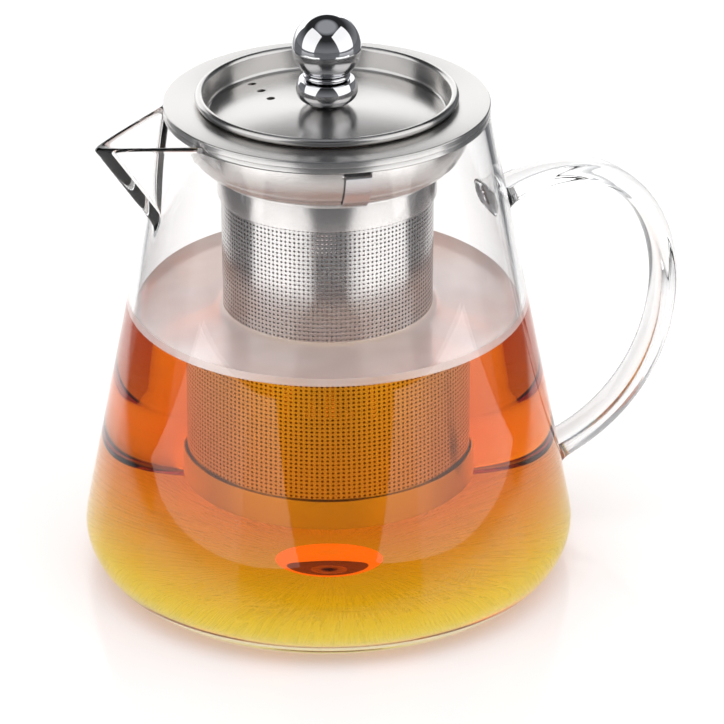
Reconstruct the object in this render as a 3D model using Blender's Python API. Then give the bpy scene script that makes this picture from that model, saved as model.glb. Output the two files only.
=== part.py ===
"""Glass teapot with a lift-out stainless tea infuser and a lid that sits in the infuser's rim.

+Z is up, the jug's axis is the Z axis, its flat base stands on Z = 0, the pouring beak points along
-X and the handle along +X. All sizes below are in millimetres and are turned into metres when a mesh
is written. Radii are outer radii unless the name says otherwise.
"""

import math

import bmesh
import bpy
from mathutils import Matrix, Vector

MM = 0.001
GAP = 0.3  # space kept between two pieces that touch or are joined
ROUND_STEPS = 48  # facets round the infuser and the lid
KNOB_STEPS = 24  # facets round the knob and its screw

# Glass jug
BASE_RADIUS = 65.0
MOUTH_RADIUS = 41.2
JUG_HEIGHT = 127.4
GLASS_WALL = 2.2
GLASS_FLOOR = 4.0
CORNER_RADIUS = 11.0
INNER_CORNER_RADIUS = 8.0

# Pouring beak, pinched out of the jug's mouth as two flat facets that meet in a ridge
BEAK_REACH = 23.8  # tip beyond the mouth
BEAK_DROP = 2.6  # tip below the mouth
BEAK_DEPTH = 28.4  # foot of the ridge below the mouth
BEAK_HALF_ANGLE = math.radians(24.0)
BEAK_CREASE = 1.2  # softness of the crease between beak and wall
BEAK_RIDGE = math.radians(1.6)  # softness of the ridge
BEAK_FADE = math.radians(75.0)  # angle from the beak's middle where its last trace ends
BEAK_FADE_SHARE = 0.25  # last part of that angle, over which the trace fades
BEAK_LEAST_SLOPE = 0.05  # a facet seen flatter than this is taken as out of reach
BEAK_FINE_ANGLE = math.radians(36.0)  # angle with narrow facets
BEAK_FINE_STEPS = 9
JUG_COARSE_STEPS = 23

# Handle, a flattened glass bar drawn along one cubic curve
HANDLE_WIDTH = 10.0
HANDLE_THICKNESS = 6.0
HANDLE_TOP_DROP = 30.5  # upper weld below the mouth
HANDLE_BOTTOM = 18.4  # height of the lower weld
HANDLE_TOP_PULL = (50.1, 16.7)  # outwards and upwards, from the upper weld
HANDLE_BOTTOM_PULL = (47.1, 18.7)
WELD_FOOT = 4.5  # length of the flared foot between bar and wall
WELD_FLARE = 1.25  # how much wider the foot is than the bar
HANDLE_SQUARENESS = 0.7  # 1 is an oval section, less is squarer
HANDLE_STATIONS = 22

# Infuser rim: the flat ring that rests on the mouth
RIM_OVERHANG = 0.3  # rim beyond the glass
RIM_EDGE_WIDTH = 1.3
RIM_EDGE_HEIGHT = 1.3
RIM_EDGE_ROUND = 0.4
RIM_SHEET = 0.7
RIM_FACE_WIDTH = 8.0  # flat ring that shows round the lid
RIM_LIP_DEPTH = 3.2  # inner edge turned down, which guides the lid

# Infuser collar: the bowl-shaped neck between rim and basket
COLLAR_SHEET = 0.5
COLLAR_CLEARANCE = 1.8  # collar to the inside of the mouth
COLLAR_LIP = 1.2  # flat lip under the rim
COLLAR_HEIGHT = 15.0
COLLAR_STEP = 1.0  # centre of the collar's curve inside the hem
HEM_HEIGHT = 1.3
HEM_OVERLAP = 0.3  # hem that starts above the foot of the curve

# Basket
BASKET_SHEET = 0.5
BASKET_RADIUS = 28.1  # outside of the plain band and of the bottom cup
BASKET_BOTTOM = 23.2  # height above the jug's base
BAND_HEIGHT = 8.0
BAND_PROUD = 0.2  # band above the foot of the collar's curve
BAND_OVERLAP = 2.0  # perforated wall that runs up inside the band
CUP_HEIGHT = 8.0
CUP_LIP = 2.6  # bottom edge of the cup turned in under the floor

# Spring clips, pressed leaves outside the collar that grip the mouth's inside
CLIP_COUNT = 3
CLIP_HEADING = math.radians(-99.5)
CLIP_WIDTH = 6.3
CLIP_SHEET = 0.5
CLIP_TOP_GAP = 1.2  # leaf to collar at the leaf's free end
CLIP_HOOK = 2.6  # inward hook through the collar's slot
CLIP_ROOT_ANGLE = math.radians(74.0)  # along the collar's curve, from its top
CLIP_END_ANGLE = math.radians(15.5)
SLOT_MARGIN = 0.5  # slot beyond the hook at each side
SLOT_HEIGHT = 2.0

# Lid: a rolled bead, a steep wall and a low dome with three vents
LID_SHEET = 0.6
LID_BEAD_RADIUS = 1.1
LID_DEPTH = 5.9  # top of the bead down to the gutter
LID_DOME_RISE = 2.2
LID_WALL_TAPER = 0.5
LID_GUTTER_ROUND = 1.2
LID_CLEARANCE = 0.5  # lid's plug to the rim's lip
VENT_RADIUS = 1.1
VENT_COUNT = 3
VENT_PITCH = 7.0
VENT_MARGIN = 3.08  # outermost vent to the dome's edge
VENT_HEADING = math.radians(115.7)  # of the outermost vent; the row runs from it along -Y

# Knob, a turned foot, a neck ring and a ball on one screw
KNOB_FOOT_RADIUS = 7.9
KNOB_FOOT_UNDERCUT = 3.58  # foot's seat inside its widest place
KNOB_FOOT_SHOULDER = 0.89  # foot's top inside its widest place
KNOB_FOOT_WAIST = 3.6  # widest place above the foot's seat
KNOB_FOOT_HEIGHT = 6.6
KNOB_NECK_RADIUS = 6.0
KNOB_NECK_HEIGHT = 1.3
KNOB_BALL_RADIUS = 8.8
KNOB_BALL_SEAT_RADIUS = 5.87
SCREW_TIP_GAP = 0.6  # bore beyond the screw's tip
SCREW_RADIUS = 2.0
SCREW_IN_BALL = 9.0
SCREW_HEAD_RADIUS = 3.6
SCREW_HEAD_HEIGHT = 2.3
SCREW_HEAD_CHAMFER = 1.0
WASHER_RADIUS = 4.6
WASHER_HEIGHT = 0.8

# Heights and radii that follow from the sizes above
HANDLE_TOP = JUG_HEIGHT - HANDLE_TOP_DROP
RIM_BOTTOM = JUG_HEIGHT + GAP
RIM_TOP = RIM_BOTTOM + RIM_EDGE_HEIGHT
RIM_UNDERSIDE = RIM_TOP - RIM_SHEET
RIM_RADIUS = MOUTH_RADIUS + RIM_OVERHANG
COLLAR_TOP_RADIUS = MOUTH_RADIUS - GLASS_WALL - COLLAR_CLEARANCE
COLLAR_TOP = RIM_UNDERSIDE - GAP
COLLAR_BEND_TOP = COLLAR_TOP - COLLAR_SHEET
COLLAR_BEND_BOTTOM = COLLAR_BEND_TOP - COLLAR_HEIGHT
HEM_INNER = BASKET_RADIUS + GAP
HEM_OUTER = HEM_INNER + COLLAR_SHEET
COLLAR_CENTRE = HEM_OUTER - COLLAR_STEP
HEM_BOTTOM = COLLAR_BEND_BOTTOM + HEM_OVERLAP - HEM_HEIGHT
BAND_TOP = COLLAR_BEND_BOTTOM + BAND_PROUD
BAND_BOTTOM = BAND_TOP - BAND_HEIGHT
WALL_RADIUS = BASKET_RADIUS - BASKET_SHEET - GAP
WALL_TOP = BAND_BOTTOM + BAND_OVERLAP
FLOOR_BOTTOM = BASKET_BOTTOM + BASKET_SHEET + GAP
LID_BEAD_OUTER = RIM_RADIUS - RIM_FACE_WIDTH
BEAD_CENTRE = LID_BEAD_OUTER - LID_BEAD_RADIUS
BEAD_HEIGHT = RIM_TOP + GAP + LID_BEAD_RADIUS
LID_GUTTER = BEAD_HEIGHT + LID_BEAD_RADIUS - LID_DEPTH
LID_APEX = LID_GUTTER + LID_DOME_RISE
LID_WALL_INNER = LID_BEAD_OUTER - 2 * LID_BEAD_RADIUS
LID_WALL_FOOT = LID_WALL_INNER - LID_WALL_TAPER
DOME_EDGE = LID_WALL_FOOT - LID_GUTTER_ROUND
PLUG_RADIUS = LID_WALL_INNER + LID_SHEET
LIP_INNER = PLUG_RADIUS + LID_CLEARANCE
BORE_RADIUS = SCREW_RADIUS + GAP
FOOT_SEAT = LID_APEX + GAP
NECK_BOTTOM = FOOT_SEAT + KNOB_FOOT_HEIGHT + GAP
BALL_SEAT = NECK_BOTTOM + KNOB_NECK_HEIGHT + GAP
BALL_CENTRE = BALL_SEAT + math.sqrt(KNOB_BALL_RADIUS**2 - KNOB_BALL_SEAT_RADIUS**2)
WASHER_TOP = LID_APEX - LID_SHEET - GAP
SCREW_SEAT = WASHER_TOP - WASHER_HEIGHT - GAP


def material(name, colour, metallic, roughness, transmission=0.0):
    """A Principled material with the finish of one stock."""
    made = bpy.data.materials.new(name)
    made.use_nodes = True
    shader = made.node_tree.nodes["Principled BSDF"]
    shader.inputs["Base Color"].default_value = (*colour, 1.0)
    shader.inputs["Metallic"].default_value = metallic
    shader.inputs["Roughness"].default_value = roughness
    shader.inputs["Transmission Weight"].default_value = transmission
    shader.inputs["IOR"].default_value = 1.47 if transmission else 1.5
    return made


def finish(bm, name, stock, parent, origin):
    """Turns a bmesh drawn in the whole object's millimetres into one object with its origin at origin."""
    bmesh.ops.remove_doubles(bm, verts=bm.verts, dist=1e-5)
    bmesh.ops.recalc_face_normals(bm, faces=bm.faces)
    bmesh.ops.transform(bm, matrix=Matrix.Scale(MM, 4) @ Matrix.Translation(-origin), verts=bm.verts)
    mesh = bpy.data.meshes.new(name)
    bm.to_mesh(mesh)
    bm.free()
    mesh.shade_smooth()
    mesh.set_sharp_from_angle(angle=math.radians(35))
    mesh.materials.append(stock)
    made = bpy.data.objects.new(name, mesh)
    bpy.context.scene.collection.objects.link(made)
    made.parent = parent
    made.location = (origin - assembly_origin(parent)) * MM
    return made


def assembly_origin(empty):
    """Where an assembly's empty stands, in millimetres."""
    return Vector(empty.location) / MM


def assembly(name, height):
    """The empty that one moving assembly hangs from, on the jug's axis."""
    empty = bpy.data.objects.new(name, None)
    empty.location = (0.0, 0.0, height * MM)
    bpy.context.scene.collection.objects.link(empty)
    return empty


def arc(centre, radius, start, end, steps, flat=1.0):
    """Points of an arc in (r, z), angles in degrees from the +r direction. flat scales it along z."""
    points = []
    for step in range(steps + 1):
        angle = math.radians(start + (end - start) * step / steps)
        points.append(
            (centre[0] + radius * math.cos(angle), centre[1] + radius * flat * math.sin(angle))
        )
    return points


def turned(name, outline, stock, parent, steps=ROUND_STEPS):
    """Spins a closed outline in (r, z) about the jug's axis."""
    bm = bmesh.new()
    verts = [bm.verts.new((r, 0.0, z)) for r, z in outline]
    for first, second in zip(verts, verts[1:] + verts[:1]):
        if first.co.x > 0 or second.co.x > 0:
            bm.edges.new((first, second))
    bmesh.ops.spin(
        bm,
        geom=bm.verts[:] + bm.edges[:],
        cent=(0, 0, 0),
        axis=(0, 0, 1),
        angle=math.tau,
        steps=steps,
        use_merge=True,
    )
    return finish(bm, name, stock, parent, assembly_origin(parent))


def rectangle(inner, outer, bottom, top):
    """A ring's section."""
    return [(inner, bottom), (outer, bottom), (outer, top), (inner, top)]


def grid_solid(rows, caps, name, stock, parent, origin):
    """Joins closed rows of points into a skin. caps closes the first and last row, each with one face
    or with a fan to a point."""
    bm = bmesh.new()
    rings = [[bm.verts.new(point) for point in row] for row in rows]
    for lower, upper in zip(rings, rings[1:]):
        for i, vert in enumerate(lower):
            after = (i + 1) % len(lower)
            bm.faces.new((vert, lower[after], upper[after], upper[i]))
    for ring, cap in zip((rings[0], rings[-1]), caps):
        if cap is None:
            bm.faces.new(ring)
            continue
        point = bm.verts.new(cap)
        for i, vert in enumerate(ring):
            bm.faces.new((vert, ring[(i + 1) % len(ring)], point))
    return finish(bm, name, stock, parent, origin)


class JugWall:
    """The jug's straight cone wall, tangent to the corner round its base."""

    def __init__(self):
        self.corner = Vector((BASE_RADIUS - CORNER_RADIUS, CORNER_RADIUS))
        to_mouth = Vector((MOUTH_RADIUS, JUG_HEIGHT)) - self.corner
        lean = math.atan2(-to_mouth.x, to_mouth.y)
        self.tilt = lean + math.asin(CORNER_RADIUS / to_mouth.length)
        self.normal = Vector((math.cos(self.tilt), math.sin(self.tilt)))
        self.level = self.normal.dot(Vector((MOUTH_RADIUS, JUG_HEIGHT)))

    def radius(self, height, depth=0.0):
        """Radius at a height, at a depth below the outer surface."""
        return (self.level - depth - self.normal.y * height) / self.normal.x

    def inner_corner(self):
        """Centre of the corner inside, tangent to the inner wall and to the inner floor."""
        height = GLASS_FLOOR + INNER_CORNER_RADIUS
        return Vector((self.radius(height, GLASS_WALL + INNER_CORNER_RADIUS), height))


WALL = JugWall()


class Beak:
    """The facet of the beak, with +X' towards its tip: a plane through the tip, the foot of the ridge
    and the point where the beak leaves the mouth's circle."""

    def __init__(self):
        self.foot_height = JUG_HEIGHT - BEAK_DEPTH
        tip = Vector((MOUTH_RADIUS + BEAK_REACH, 0.0, JUG_HEIGHT - BEAK_DROP))
        foot = Vector((WALL.radius(self.foot_height), 0.0, self.foot_height))
        mouth = Vector(
            (
                MOUTH_RADIUS * math.cos(BEAK_HALF_ANGLE),
                MOUTH_RADIUS * math.sin(BEAK_HALF_ANGLE),
                JUG_HEIGHT,
            )
        )
        self.normal = (foot - tip).cross(mouth - tip).normalized()
        if self.normal.x < 0:
            self.normal.negate()
        self.level = self.normal.dot(tip)

    def radius(self, angle, height, depth):
        """Radius of the facet at an angle from the beak's middle."""
        soft = math.sqrt(angle**2 + BEAK_RIDGE**2)
        if soft > BEAK_FADE:
            return 0.0
        slope = self.normal.x * math.cos(soft) + self.normal.y * math.sin(soft)
        if slope <= BEAK_LEAST_SLOPE:
            return 0.0
        return (self.level - depth - self.normal.z * height) / slope

    def surface(self, angle, height, depth):
        """Radius and height of the jug's skin where the wall and the facet meet in a soft crease."""
        if height <= self.foot_height - CORNER_RADIUS:
            return WALL.radius(height, depth), height
        share = max(0.0, (height - self.foot_height) / BEAK_DEPTH)
        reach = max(self.radius(angle, height, depth) - WALL.radius(height, depth), 0.0)
        lowered = height - BEAK_DROP * share * min(reach / BEAK_REACH, 1.0)
        wall = WALL.radius(lowered, depth)
        facet = self.radius(angle, lowered, depth)
        spread = math.sqrt((wall - facet) ** 2 + BEAK_CREASE**2)
        left = max(0.0, 1.0 - abs(angle) / BEAK_FADE)
        fade = min(1.0, left / BEAK_FADE_SHARE)
        return wall + 0.5 * fade * (spread + facet - wall), lowered


BEAK = Beak()


def jug_angles():
    """Angles round the jug from the beak's middle: fine at the beak, coarse elsewhere."""
    half = [BEAK_FINE_ANGLE * i / BEAK_FINE_STEPS for i in range(BEAK_FINE_STEPS)]
    coarse_step = (math.pi - BEAK_FINE_ANGLE) / JUG_COARSE_STEPS
    half += [BEAK_FINE_ANGLE + coarse_step * i for i in range(JUG_COARSE_STEPS + 1)]
    return [-a for a in reversed(half[1:])][1:] + half


def jug_body(glass, parent):
    """The blown body: flat base, rounded corner, cone wall, beak, fire-rounded lip and the inside."""
    beak_rows = [BEAK.foot_height + BEAK_DEPTH * share for share in (0.0, 0.3, 0.6, 0.85)]
    lip = GLASS_WALL / 2

    def skin(height, depth):
        row = []
        for angle in jug_angles():
            radius, z = BEAK.surface(angle, height, depth)
            row.append((-radius * math.cos(angle), radius * math.sin(angle), z))
        return row

    def level_ring(radius, z):
        return [(-radius * math.cos(a), radius * math.sin(a), z) for a in jug_angles()]

    corner = arc(WALL.corner, CORNER_RADIUS, -90, math.degrees(WALL.tilt), 6)
    inner = arc(WALL.inner_corner(), INNER_CORNER_RADIUS, math.degrees(WALL.tilt), -90, 5)
    rows = [level_ring(radius, z) for radius, z in corner]
    rows += [skin(height, 0.0) for height in beak_rows]
    for angle in (0, 45, 90, 135, 180):
        turn = math.radians(angle)
        height = JUG_HEIGHT - lip + lip * math.sin(turn)
        rows.append(skin(height, lip * (1 - math.cos(turn))))
    rows += [skin(height, GLASS_WALL) for height in reversed(beak_rows)]
    rows += [level_ring(radius, z) for radius, z in inner]
    return grid_solid(
        rows, ((0, 0, 0), (0, 0, GLASS_FLOOR)), "jug_body", glass, parent, assembly_origin(parent)
    )


def handle_section(width, thickness, steps=16):
    """Closed section of the bar, a squarish oval."""
    points = []
    for i in range(steps):
        angle = math.tau * (i + 0.5) / steps
        across = math.copysign(abs(math.cos(angle)) ** HANDLE_SQUARENESS, math.cos(angle))
        out = math.copysign(abs(math.sin(angle)) ** HANDLE_SQUARENESS, math.sin(angle))
        points.append((across * width / 2, out * thickness / 2))
    return points


def handle(glass, parent):
    """The bar swept along its curve, run on into the wall at both ends and trimmed to it."""
    top = Vector((WALL.radius(HANDLE_TOP) + WELD_FOOT, 0.0, HANDLE_TOP))
    bottom = Vector((WALL.radius(HANDLE_BOTTOM) + WELD_FOOT, 0.0, HANDLE_BOTTOM))
    pull_top = top + Vector((HANDLE_TOP_PULL[0], 0.0, HANDLE_TOP_PULL[1]))
    pull_bottom = bottom + Vector((HANDLE_BOTTOM_PULL[0], 0.0, HANDLE_BOTTOM_PULL[1]))
    path = []
    for step in range(HANDLE_STATIONS + 1):
        t = step / HANDLE_STATIONS
        path.append(
            (1 - t) ** 3 * top
            + 3 * (1 - t) ** 2 * t * pull_top
            + 3 * (1 - t) * t**2 * pull_bottom
            + t**3 * bottom
        )
    into_top = (top - path[1]).normalized()
    into_bottom = (bottom - path[-2]).normalized()
    path.insert(0, top + into_top * (WELD_FOOT + GLASS_WALL))
    path.append(bottom + into_bottom * (WELD_FOOT + GLASS_WALL))
    rows = []
    for i, point in enumerate(path):
        along = (path[min(i + 1, len(path) - 1)] - path[max(i - 1, 0)]).normalized()
        out = Vector((-along.z, 0.0, along.x))
        grow = WELD_FLARE if i in (0, len(path) - 1) else 1.0
        section = handle_section(HANDLE_WIDTH * grow, HANDLE_THICKNESS * grow)
        rows.append([point + Vector((0, 1, 0)) * w + out * t for w, t in section])
    made = grid_solid(rows, (None, None), "handle", glass, parent, assembly_origin(parent))
    trim(made, jug_envelope(parent))
    return made


def jug_envelope(parent):
    """The jug's outside with the joining gap added, used to trim the handle's feet."""
    outline = [(0.0, GAP), (BASE_RADIUS + GAP, GAP)]
    outline.append((WALL.radius(CORNER_RADIUS, -GAP), CORNER_RADIUS))
    outline.append((WALL.radius(JUG_HEIGHT, -GAP), JUG_HEIGHT))
    outline.append((0.0, JUG_HEIGHT))
    cutter = turned("jug_envelope", outline, None, parent, 96)
    cutter.hide_render = True
    cutter.display_type = "WIRE"
    return cutter


def trim(target, cutter):
    """Cuts one helper's shape out of a piece."""
    cut = target.modifiers.new(cutter.name, "BOOLEAN")
    cut.operation = "DIFFERENCE"
    cut.object = cutter


def infuser_rim(steel, parent):
    """Flat ring with a hemmed outer edge and an inner edge turned down round the lid's plug."""
    lip_outer = LIP_INNER + RIM_SHEET
    lip_bottom = RIM_TOP - RIM_LIP_DEPTH
    edge_inner = RIM_RADIUS - RIM_EDGE_WIDTH
    outline = [
        (LIP_INNER, lip_bottom),
        (LIP_INNER, RIM_TOP - RIM_EDGE_ROUND),
        (LIP_INNER + RIM_EDGE_ROUND, RIM_TOP),
        (RIM_RADIUS - RIM_EDGE_ROUND, RIM_TOP),
        (RIM_RADIUS, RIM_TOP - RIM_EDGE_ROUND),
        (RIM_RADIUS, RIM_BOTTOM + RIM_EDGE_ROUND),
        (RIM_RADIUS - RIM_EDGE_ROUND, RIM_BOTTOM),
        (edge_inner, RIM_BOTTOM),
        (edge_inner, RIM_UNDERSIDE),
        (lip_outer, RIM_UNDERSIDE),
        (lip_outer, lip_bottom),
    ]
    return turned("infuser_rim", outline, steel, parent)


def collar_point(angle, sheet):
    """A point of the collar's curve at an angle below its top, sheet inside its outer surface."""
    return Vector(
        (
            COLLAR_CENTRE + (COLLAR_TOP_RADIUS - COLLAR_CENTRE - sheet) * math.cos(angle),
            COLLAR_BEND_TOP - (COLLAR_HEIGHT - sheet) * math.sin(angle),
        )
    )


def infuser_collar(steel, parent):
    """Bowl-shaped neck: a lip under the rim, a quarter-ellipse curve and a short hem round the band."""
    steps = 6
    outer_end = math.acos((HEM_OUTER - COLLAR_CENTRE) / (COLLAR_TOP_RADIUS - COLLAR_CENTRE))
    inner_span = COLLAR_TOP_RADIUS - COLLAR_CENTRE - COLLAR_SHEET
    inner_end = math.acos((HEM_INNER - COLLAR_CENTRE) / inner_span)
    outer = [collar_point(outer_end * i / steps, 0.0) for i in range(steps + 1)]
    inner = [collar_point(inner_end * i / steps, COLLAR_SHEET) for i in range(steps + 1)]
    lip_outer = COLLAR_TOP_RADIUS + COLLAR_LIP
    outline = [(COLLAR_TOP_RADIUS - COLLAR_SHEET, COLLAR_TOP), (lip_outer, COLLAR_TOP)]
    outline.append((lip_outer, COLLAR_BEND_TOP))
    outline += [tuple(point) for point in outer]
    outline += [(HEM_OUTER, HEM_BOTTOM), (HEM_INNER, HEM_BOTTOM)]
    outline += [tuple(point) for point in reversed(inner)]
    return turned("infuser_collar", outline, steel, parent)


def leaf_outline():
    """Section of a spring leaf in (r, z): it starts beside the hem, follows the collar's curve with a
    gap that opens towards the top, and hooks inwards at its free end."""
    steps = 6
    near = []
    far = []
    for i in range(steps + 1):
        share = i / steps
        angle = CLIP_ROOT_ANGLE + (CLIP_END_ANGLE - CLIP_ROOT_ANGLE) * share
        point = collar_point(angle, 0.0)
        normal = Vector(
            (
                COLLAR_HEIGHT * math.cos(angle),
                -(COLLAR_TOP_RADIUS - COLLAR_CENTRE) * math.sin(angle),
            )
        ).normalized()
        gap = GAP + (CLIP_TOP_GAP - GAP) * share
        near.append(point + normal * gap)
        far.append(point + normal * (gap + CLIP_SHEET))
    top = near[-1].y + CLIP_SHEET
    hook_end = near[-1].x - CLIP_HOOK
    hook = [Vector((far[-1].x, top)), Vector((hook_end, top)), Vector((hook_end, near[-1].y))]
    return far + hook + near[::-1], (near[0] + far[0]) / 2, near[-1].y + CLIP_SHEET / 2


def clip_frame(index):
    """Outward and sideways directions of one clip."""
    heading = CLIP_HEADING + math.tau * index / CLIP_COUNT
    outward = Vector((math.cos(heading), math.sin(heading), 0.0))
    return outward, Vector((-outward.y, outward.x, 0.0))


def spring_clip(index, steel, parent):
    """One leaf. Its origin is its root, where it bends."""
    outline, root, _ = leaf_outline()
    outward, sideways = clip_frame(index)
    rows = []
    for side in (-CLIP_WIDTH / 2, CLIP_WIDTH / 2):
        rows.append([outward * p.x + Vector((0, 0, p.y)) + sideways * side for p in outline])
    origin = outward * root.x + Vector((0, 0, root.y))
    return grid_solid(rows, (None, None), f"spring_clip_{index + 1}", steel, parent, origin)


def slot_cutter(index, parent):
    """The window in the collar that a clip's hook passes through."""
    _, _, hook_height = leaf_outline()
    outward, sideways = clip_frame(index)
    half_depth = CLIP_HOOK + SLOT_MARGIN
    half_width = CLIP_WIDTH / 2 + SLOT_MARGIN
    middle = outward * COLLAR_TOP_RADIUS + Vector((0, 0, hook_height))
    rows = []
    for across in (-half_width, half_width):
        corners = []
        for out, up in ((-1, -1), (1, -1), (1, 1), (-1, 1)):
            place = middle + sideways * across + outward * out * half_depth
            corners.append(place + Vector((0, 0, up * SLOT_HEIGHT / 2)))
        rows.append(corners)
    name = f"clip_slot_{index + 1}"
    cutter = grid_solid(rows, (None, None), name, None, parent, assembly_origin(parent))
    cutter.hide_render = True
    cutter.display_type = "WIRE"
    return cutter


def basket(steel, parent):
    """Plain band, perforated wall (here a plain tube), bottom cup and floor disc."""
    inner = BASKET_RADIUS - BASKET_SHEET
    band = rectangle(inner, BASKET_RADIUS, BAND_BOTTOM, BAND_TOP)
    turned("basket_band", band, steel, parent)
    wall = rectangle(WALL_RADIUS - BASKET_SHEET, WALL_RADIUS, FLOOR_BOTTOM, WALL_TOP)
    turned("basket_wall", wall, steel, parent)
    lip_inner = BASKET_RADIUS - CUP_LIP
    lip_top = BASKET_BOTTOM + BASKET_SHEET
    cup = [
        (lip_inner, BASKET_BOTTOM),
        (BASKET_RADIUS - BASKET_SHEET, BASKET_BOTTOM),
        (BASKET_RADIUS, lip_top),
        (BASKET_RADIUS, BASKET_BOTTOM + CUP_HEIGHT),
        (inner, BASKET_BOTTOM + CUP_HEIGHT),
        (inner, lip_top),
        (lip_inner, lip_top),
    ]
    turned("basket_cup", cup, steel, parent)
    floor_radius = WALL_RADIUS - BASKET_SHEET - GAP
    floor = [
        (0.0, FLOOR_BOTTOM),
        (floor_radius, FLOOR_BOTTOM),
        (floor_radius, FLOOR_BOTTOM + BASKET_SHEET),
        (0.0, FLOOR_BOTTOM + BASKET_SHEET),
    ]
    turned("basket_floor", floor, steel, parent)


def dome_height(radius):
    """Height of the lid's low dome, a parabola from its apex down to the gutter."""
    return LID_GUTTER + LID_DOME_RISE * (1 - (radius / DOME_EDGE) ** 2)


def lid_plate(steel, parent):
    """One pressing: dome with a screw hole, gutter, steep wall and the edge rolled into a bead."""
    steps = 5
    radii = [BORE_RADIUS + (DOME_EDGE - BORE_RADIUS) * i / steps for i in range(steps + 1)]
    top = [(radius, dome_height(radius)) for radius in radii]
    top.append((LID_WALL_FOOT, LID_GUTTER + LID_GUTTER_ROUND))
    bead = arc((BEAD_CENTRE, BEAD_HEIGHT), LID_BEAD_RADIUS, 180, -120, 10)
    foot = [
        (bead[-1][0] - LID_SHEET / 2, RIM_TOP),
        (LID_WALL_FOOT + LID_SHEET, LID_GUTTER + LID_GUTTER_ROUND / 2),
        (DOME_EDGE + LID_SHEET / 2, LID_GUTTER - LID_SHEET),
    ]
    under = [(radius, height - LID_SHEET) for radius, height in reversed(top[: steps + 1])]
    plate = turned("lid_plate", top + bead + foot + under, steel, parent)
    for index in range(VENT_COUNT):
        trim(plate, vent_cutter(index, parent))
    return plate


def vent_cutter(index, parent):
    """A drill through the lid at one vent, the outermost first."""
    outermost = DOME_EDGE - VENT_MARGIN
    x = outermost * math.cos(VENT_HEADING)
    y = outermost * math.sin(VENT_HEADING) - VENT_PITCH * index
    bm = bmesh.new()
    bmesh.ops.create_cone(
        bm,
        cap_ends=True,
        segments=16,
        radius1=VENT_RADIUS,
        radius2=VENT_RADIUS,
        depth=4 * LID_DOME_RISE,
        matrix=Matrix.Translation((x, y, LID_GUTTER + LID_DOME_RISE / 2)),
    )
    cutter = finish(bm, f"vent_drill_{index + 1}", None, parent, assembly_origin(parent))
    cutter.hide_render = True
    cutter.display_type = "WIRE"
    return cutter


def knob(steel, screw_steel, parent):
    """Foot, neck ring and ball, bored for the screw that holds them and its washer under the lid."""
    centre = (0.0, FOOT_SEAT + KNOB_FOOT_WAIST)
    low = math.acos(1 - KNOB_FOOT_UNDERCUT / KNOB_FOOT_RADIUS)
    high = math.acos(1 - KNOB_FOOT_SHOULDER / KNOB_FOOT_RADIUS)
    flat_low = KNOB_FOOT_WAIST / (KNOB_FOOT_RADIUS * math.sin(low))
    flat_high = (KNOB_FOOT_HEIGHT - KNOB_FOOT_WAIST) / (KNOB_FOOT_RADIUS * math.sin(high))
    foot = [(BORE_RADIUS, FOOT_SEAT)]
    foot += arc(centre, KNOB_FOOT_RADIUS, -math.degrees(low), 0, 5, flat_low)
    foot += arc(centre, KNOB_FOOT_RADIUS, 0, math.degrees(high), 3, flat_high)[1:]
    foot.append((BORE_RADIUS, FOOT_SEAT + KNOB_FOOT_HEIGHT))
    turned("knob_foot", foot, steel, parent, KNOB_STEPS)

    half = KNOB_NECK_HEIGHT / 2
    ring = arc((KNOB_NECK_RADIUS - half, NECK_BOTTOM + half), half, -90, 90, 4)
    neck = [(BORE_RADIUS, NECK_BOTTOM)] + ring + [(BORE_RADIUS, NECK_BOTTOM + KNOB_NECK_HEIGHT)]
    turned("knob_neck", neck, steel, parent, KNOB_STEPS)

    bore_top = BALL_SEAT + SCREW_IN_BALL + SCREW_TIP_GAP
    seat_angle = math.degrees(math.acos(KNOB_BALL_SEAT_RADIUS / KNOB_BALL_RADIUS))
    ball = [(0.0, bore_top), (BORE_RADIUS, bore_top), (BORE_RADIUS, BALL_SEAT)]
    ball += arc((0.0, BALL_CENTRE), KNOB_BALL_RADIUS, -seat_angle, 90, 10)[:-1]
    ball.append((0.0, BALL_CENTRE + KNOB_BALL_RADIUS))
    turned("knob_ball", ball, steel, parent, KNOB_STEPS)

    washer = rectangle(BORE_RADIUS, WASHER_RADIUS, WASHER_TOP - WASHER_HEIGHT, WASHER_TOP)
    turned("knob_washer", washer, screw_steel, parent, KNOB_STEPS)

    head = SCREW_SEAT - SCREW_HEAD_HEIGHT
    screw = [
        (0.0, head),
        (SCREW_HEAD_RADIUS - SCREW_HEAD_CHAMFER, head),
        (SCREW_HEAD_RADIUS, head + SCREW_HEAD_CHAMFER),
        (SCREW_HEAD_RADIUS, SCREW_SEAT),
        (SCREW_RADIUS, SCREW_SEAT),
        (SCREW_RADIUS, BALL_SEAT + SCREW_IN_BALL),
        (0.0, BALL_SEAT + SCREW_IN_BALL),
    ]
    turned("knob_screw", screw, screw_steel, parent, KNOB_STEPS)


def main():
    for old in list(bpy.data.objects):
        bpy.data.objects.remove(old)
    glass = material("borosilicate_glass", (0.97, 0.985, 0.98), 0.0, 0.02, transmission=1.0)
    satin = material("satin_stainless", (0.62, 0.61, 0.60), 1.0, 0.28)
    bright = material("polished_stainless", (0.78, 0.78, 0.79), 1.0, 0.06)
    spring = material("spring_stainless", (0.66, 0.66, 0.67), 1.0, 0.18)

    jug = assembly("jug", 0.0)
    infuser = assembly("infuser", JUG_HEIGHT)
    lid = assembly("lid", RIM_TOP)

    jug_body(glass, jug)
    handle(glass, jug)
    infuser_rim(bright, infuser)
    collar = infuser_collar(satin, infuser)
    for index in range(CLIP_COUNT):
        spring_clip(index, spring, infuser)
        trim(collar, slot_cutter(index, infuser))
    basket(satin, infuser)
    lid_plate(satin, lid)
    knob(bright, spring, lid)


main()
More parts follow.
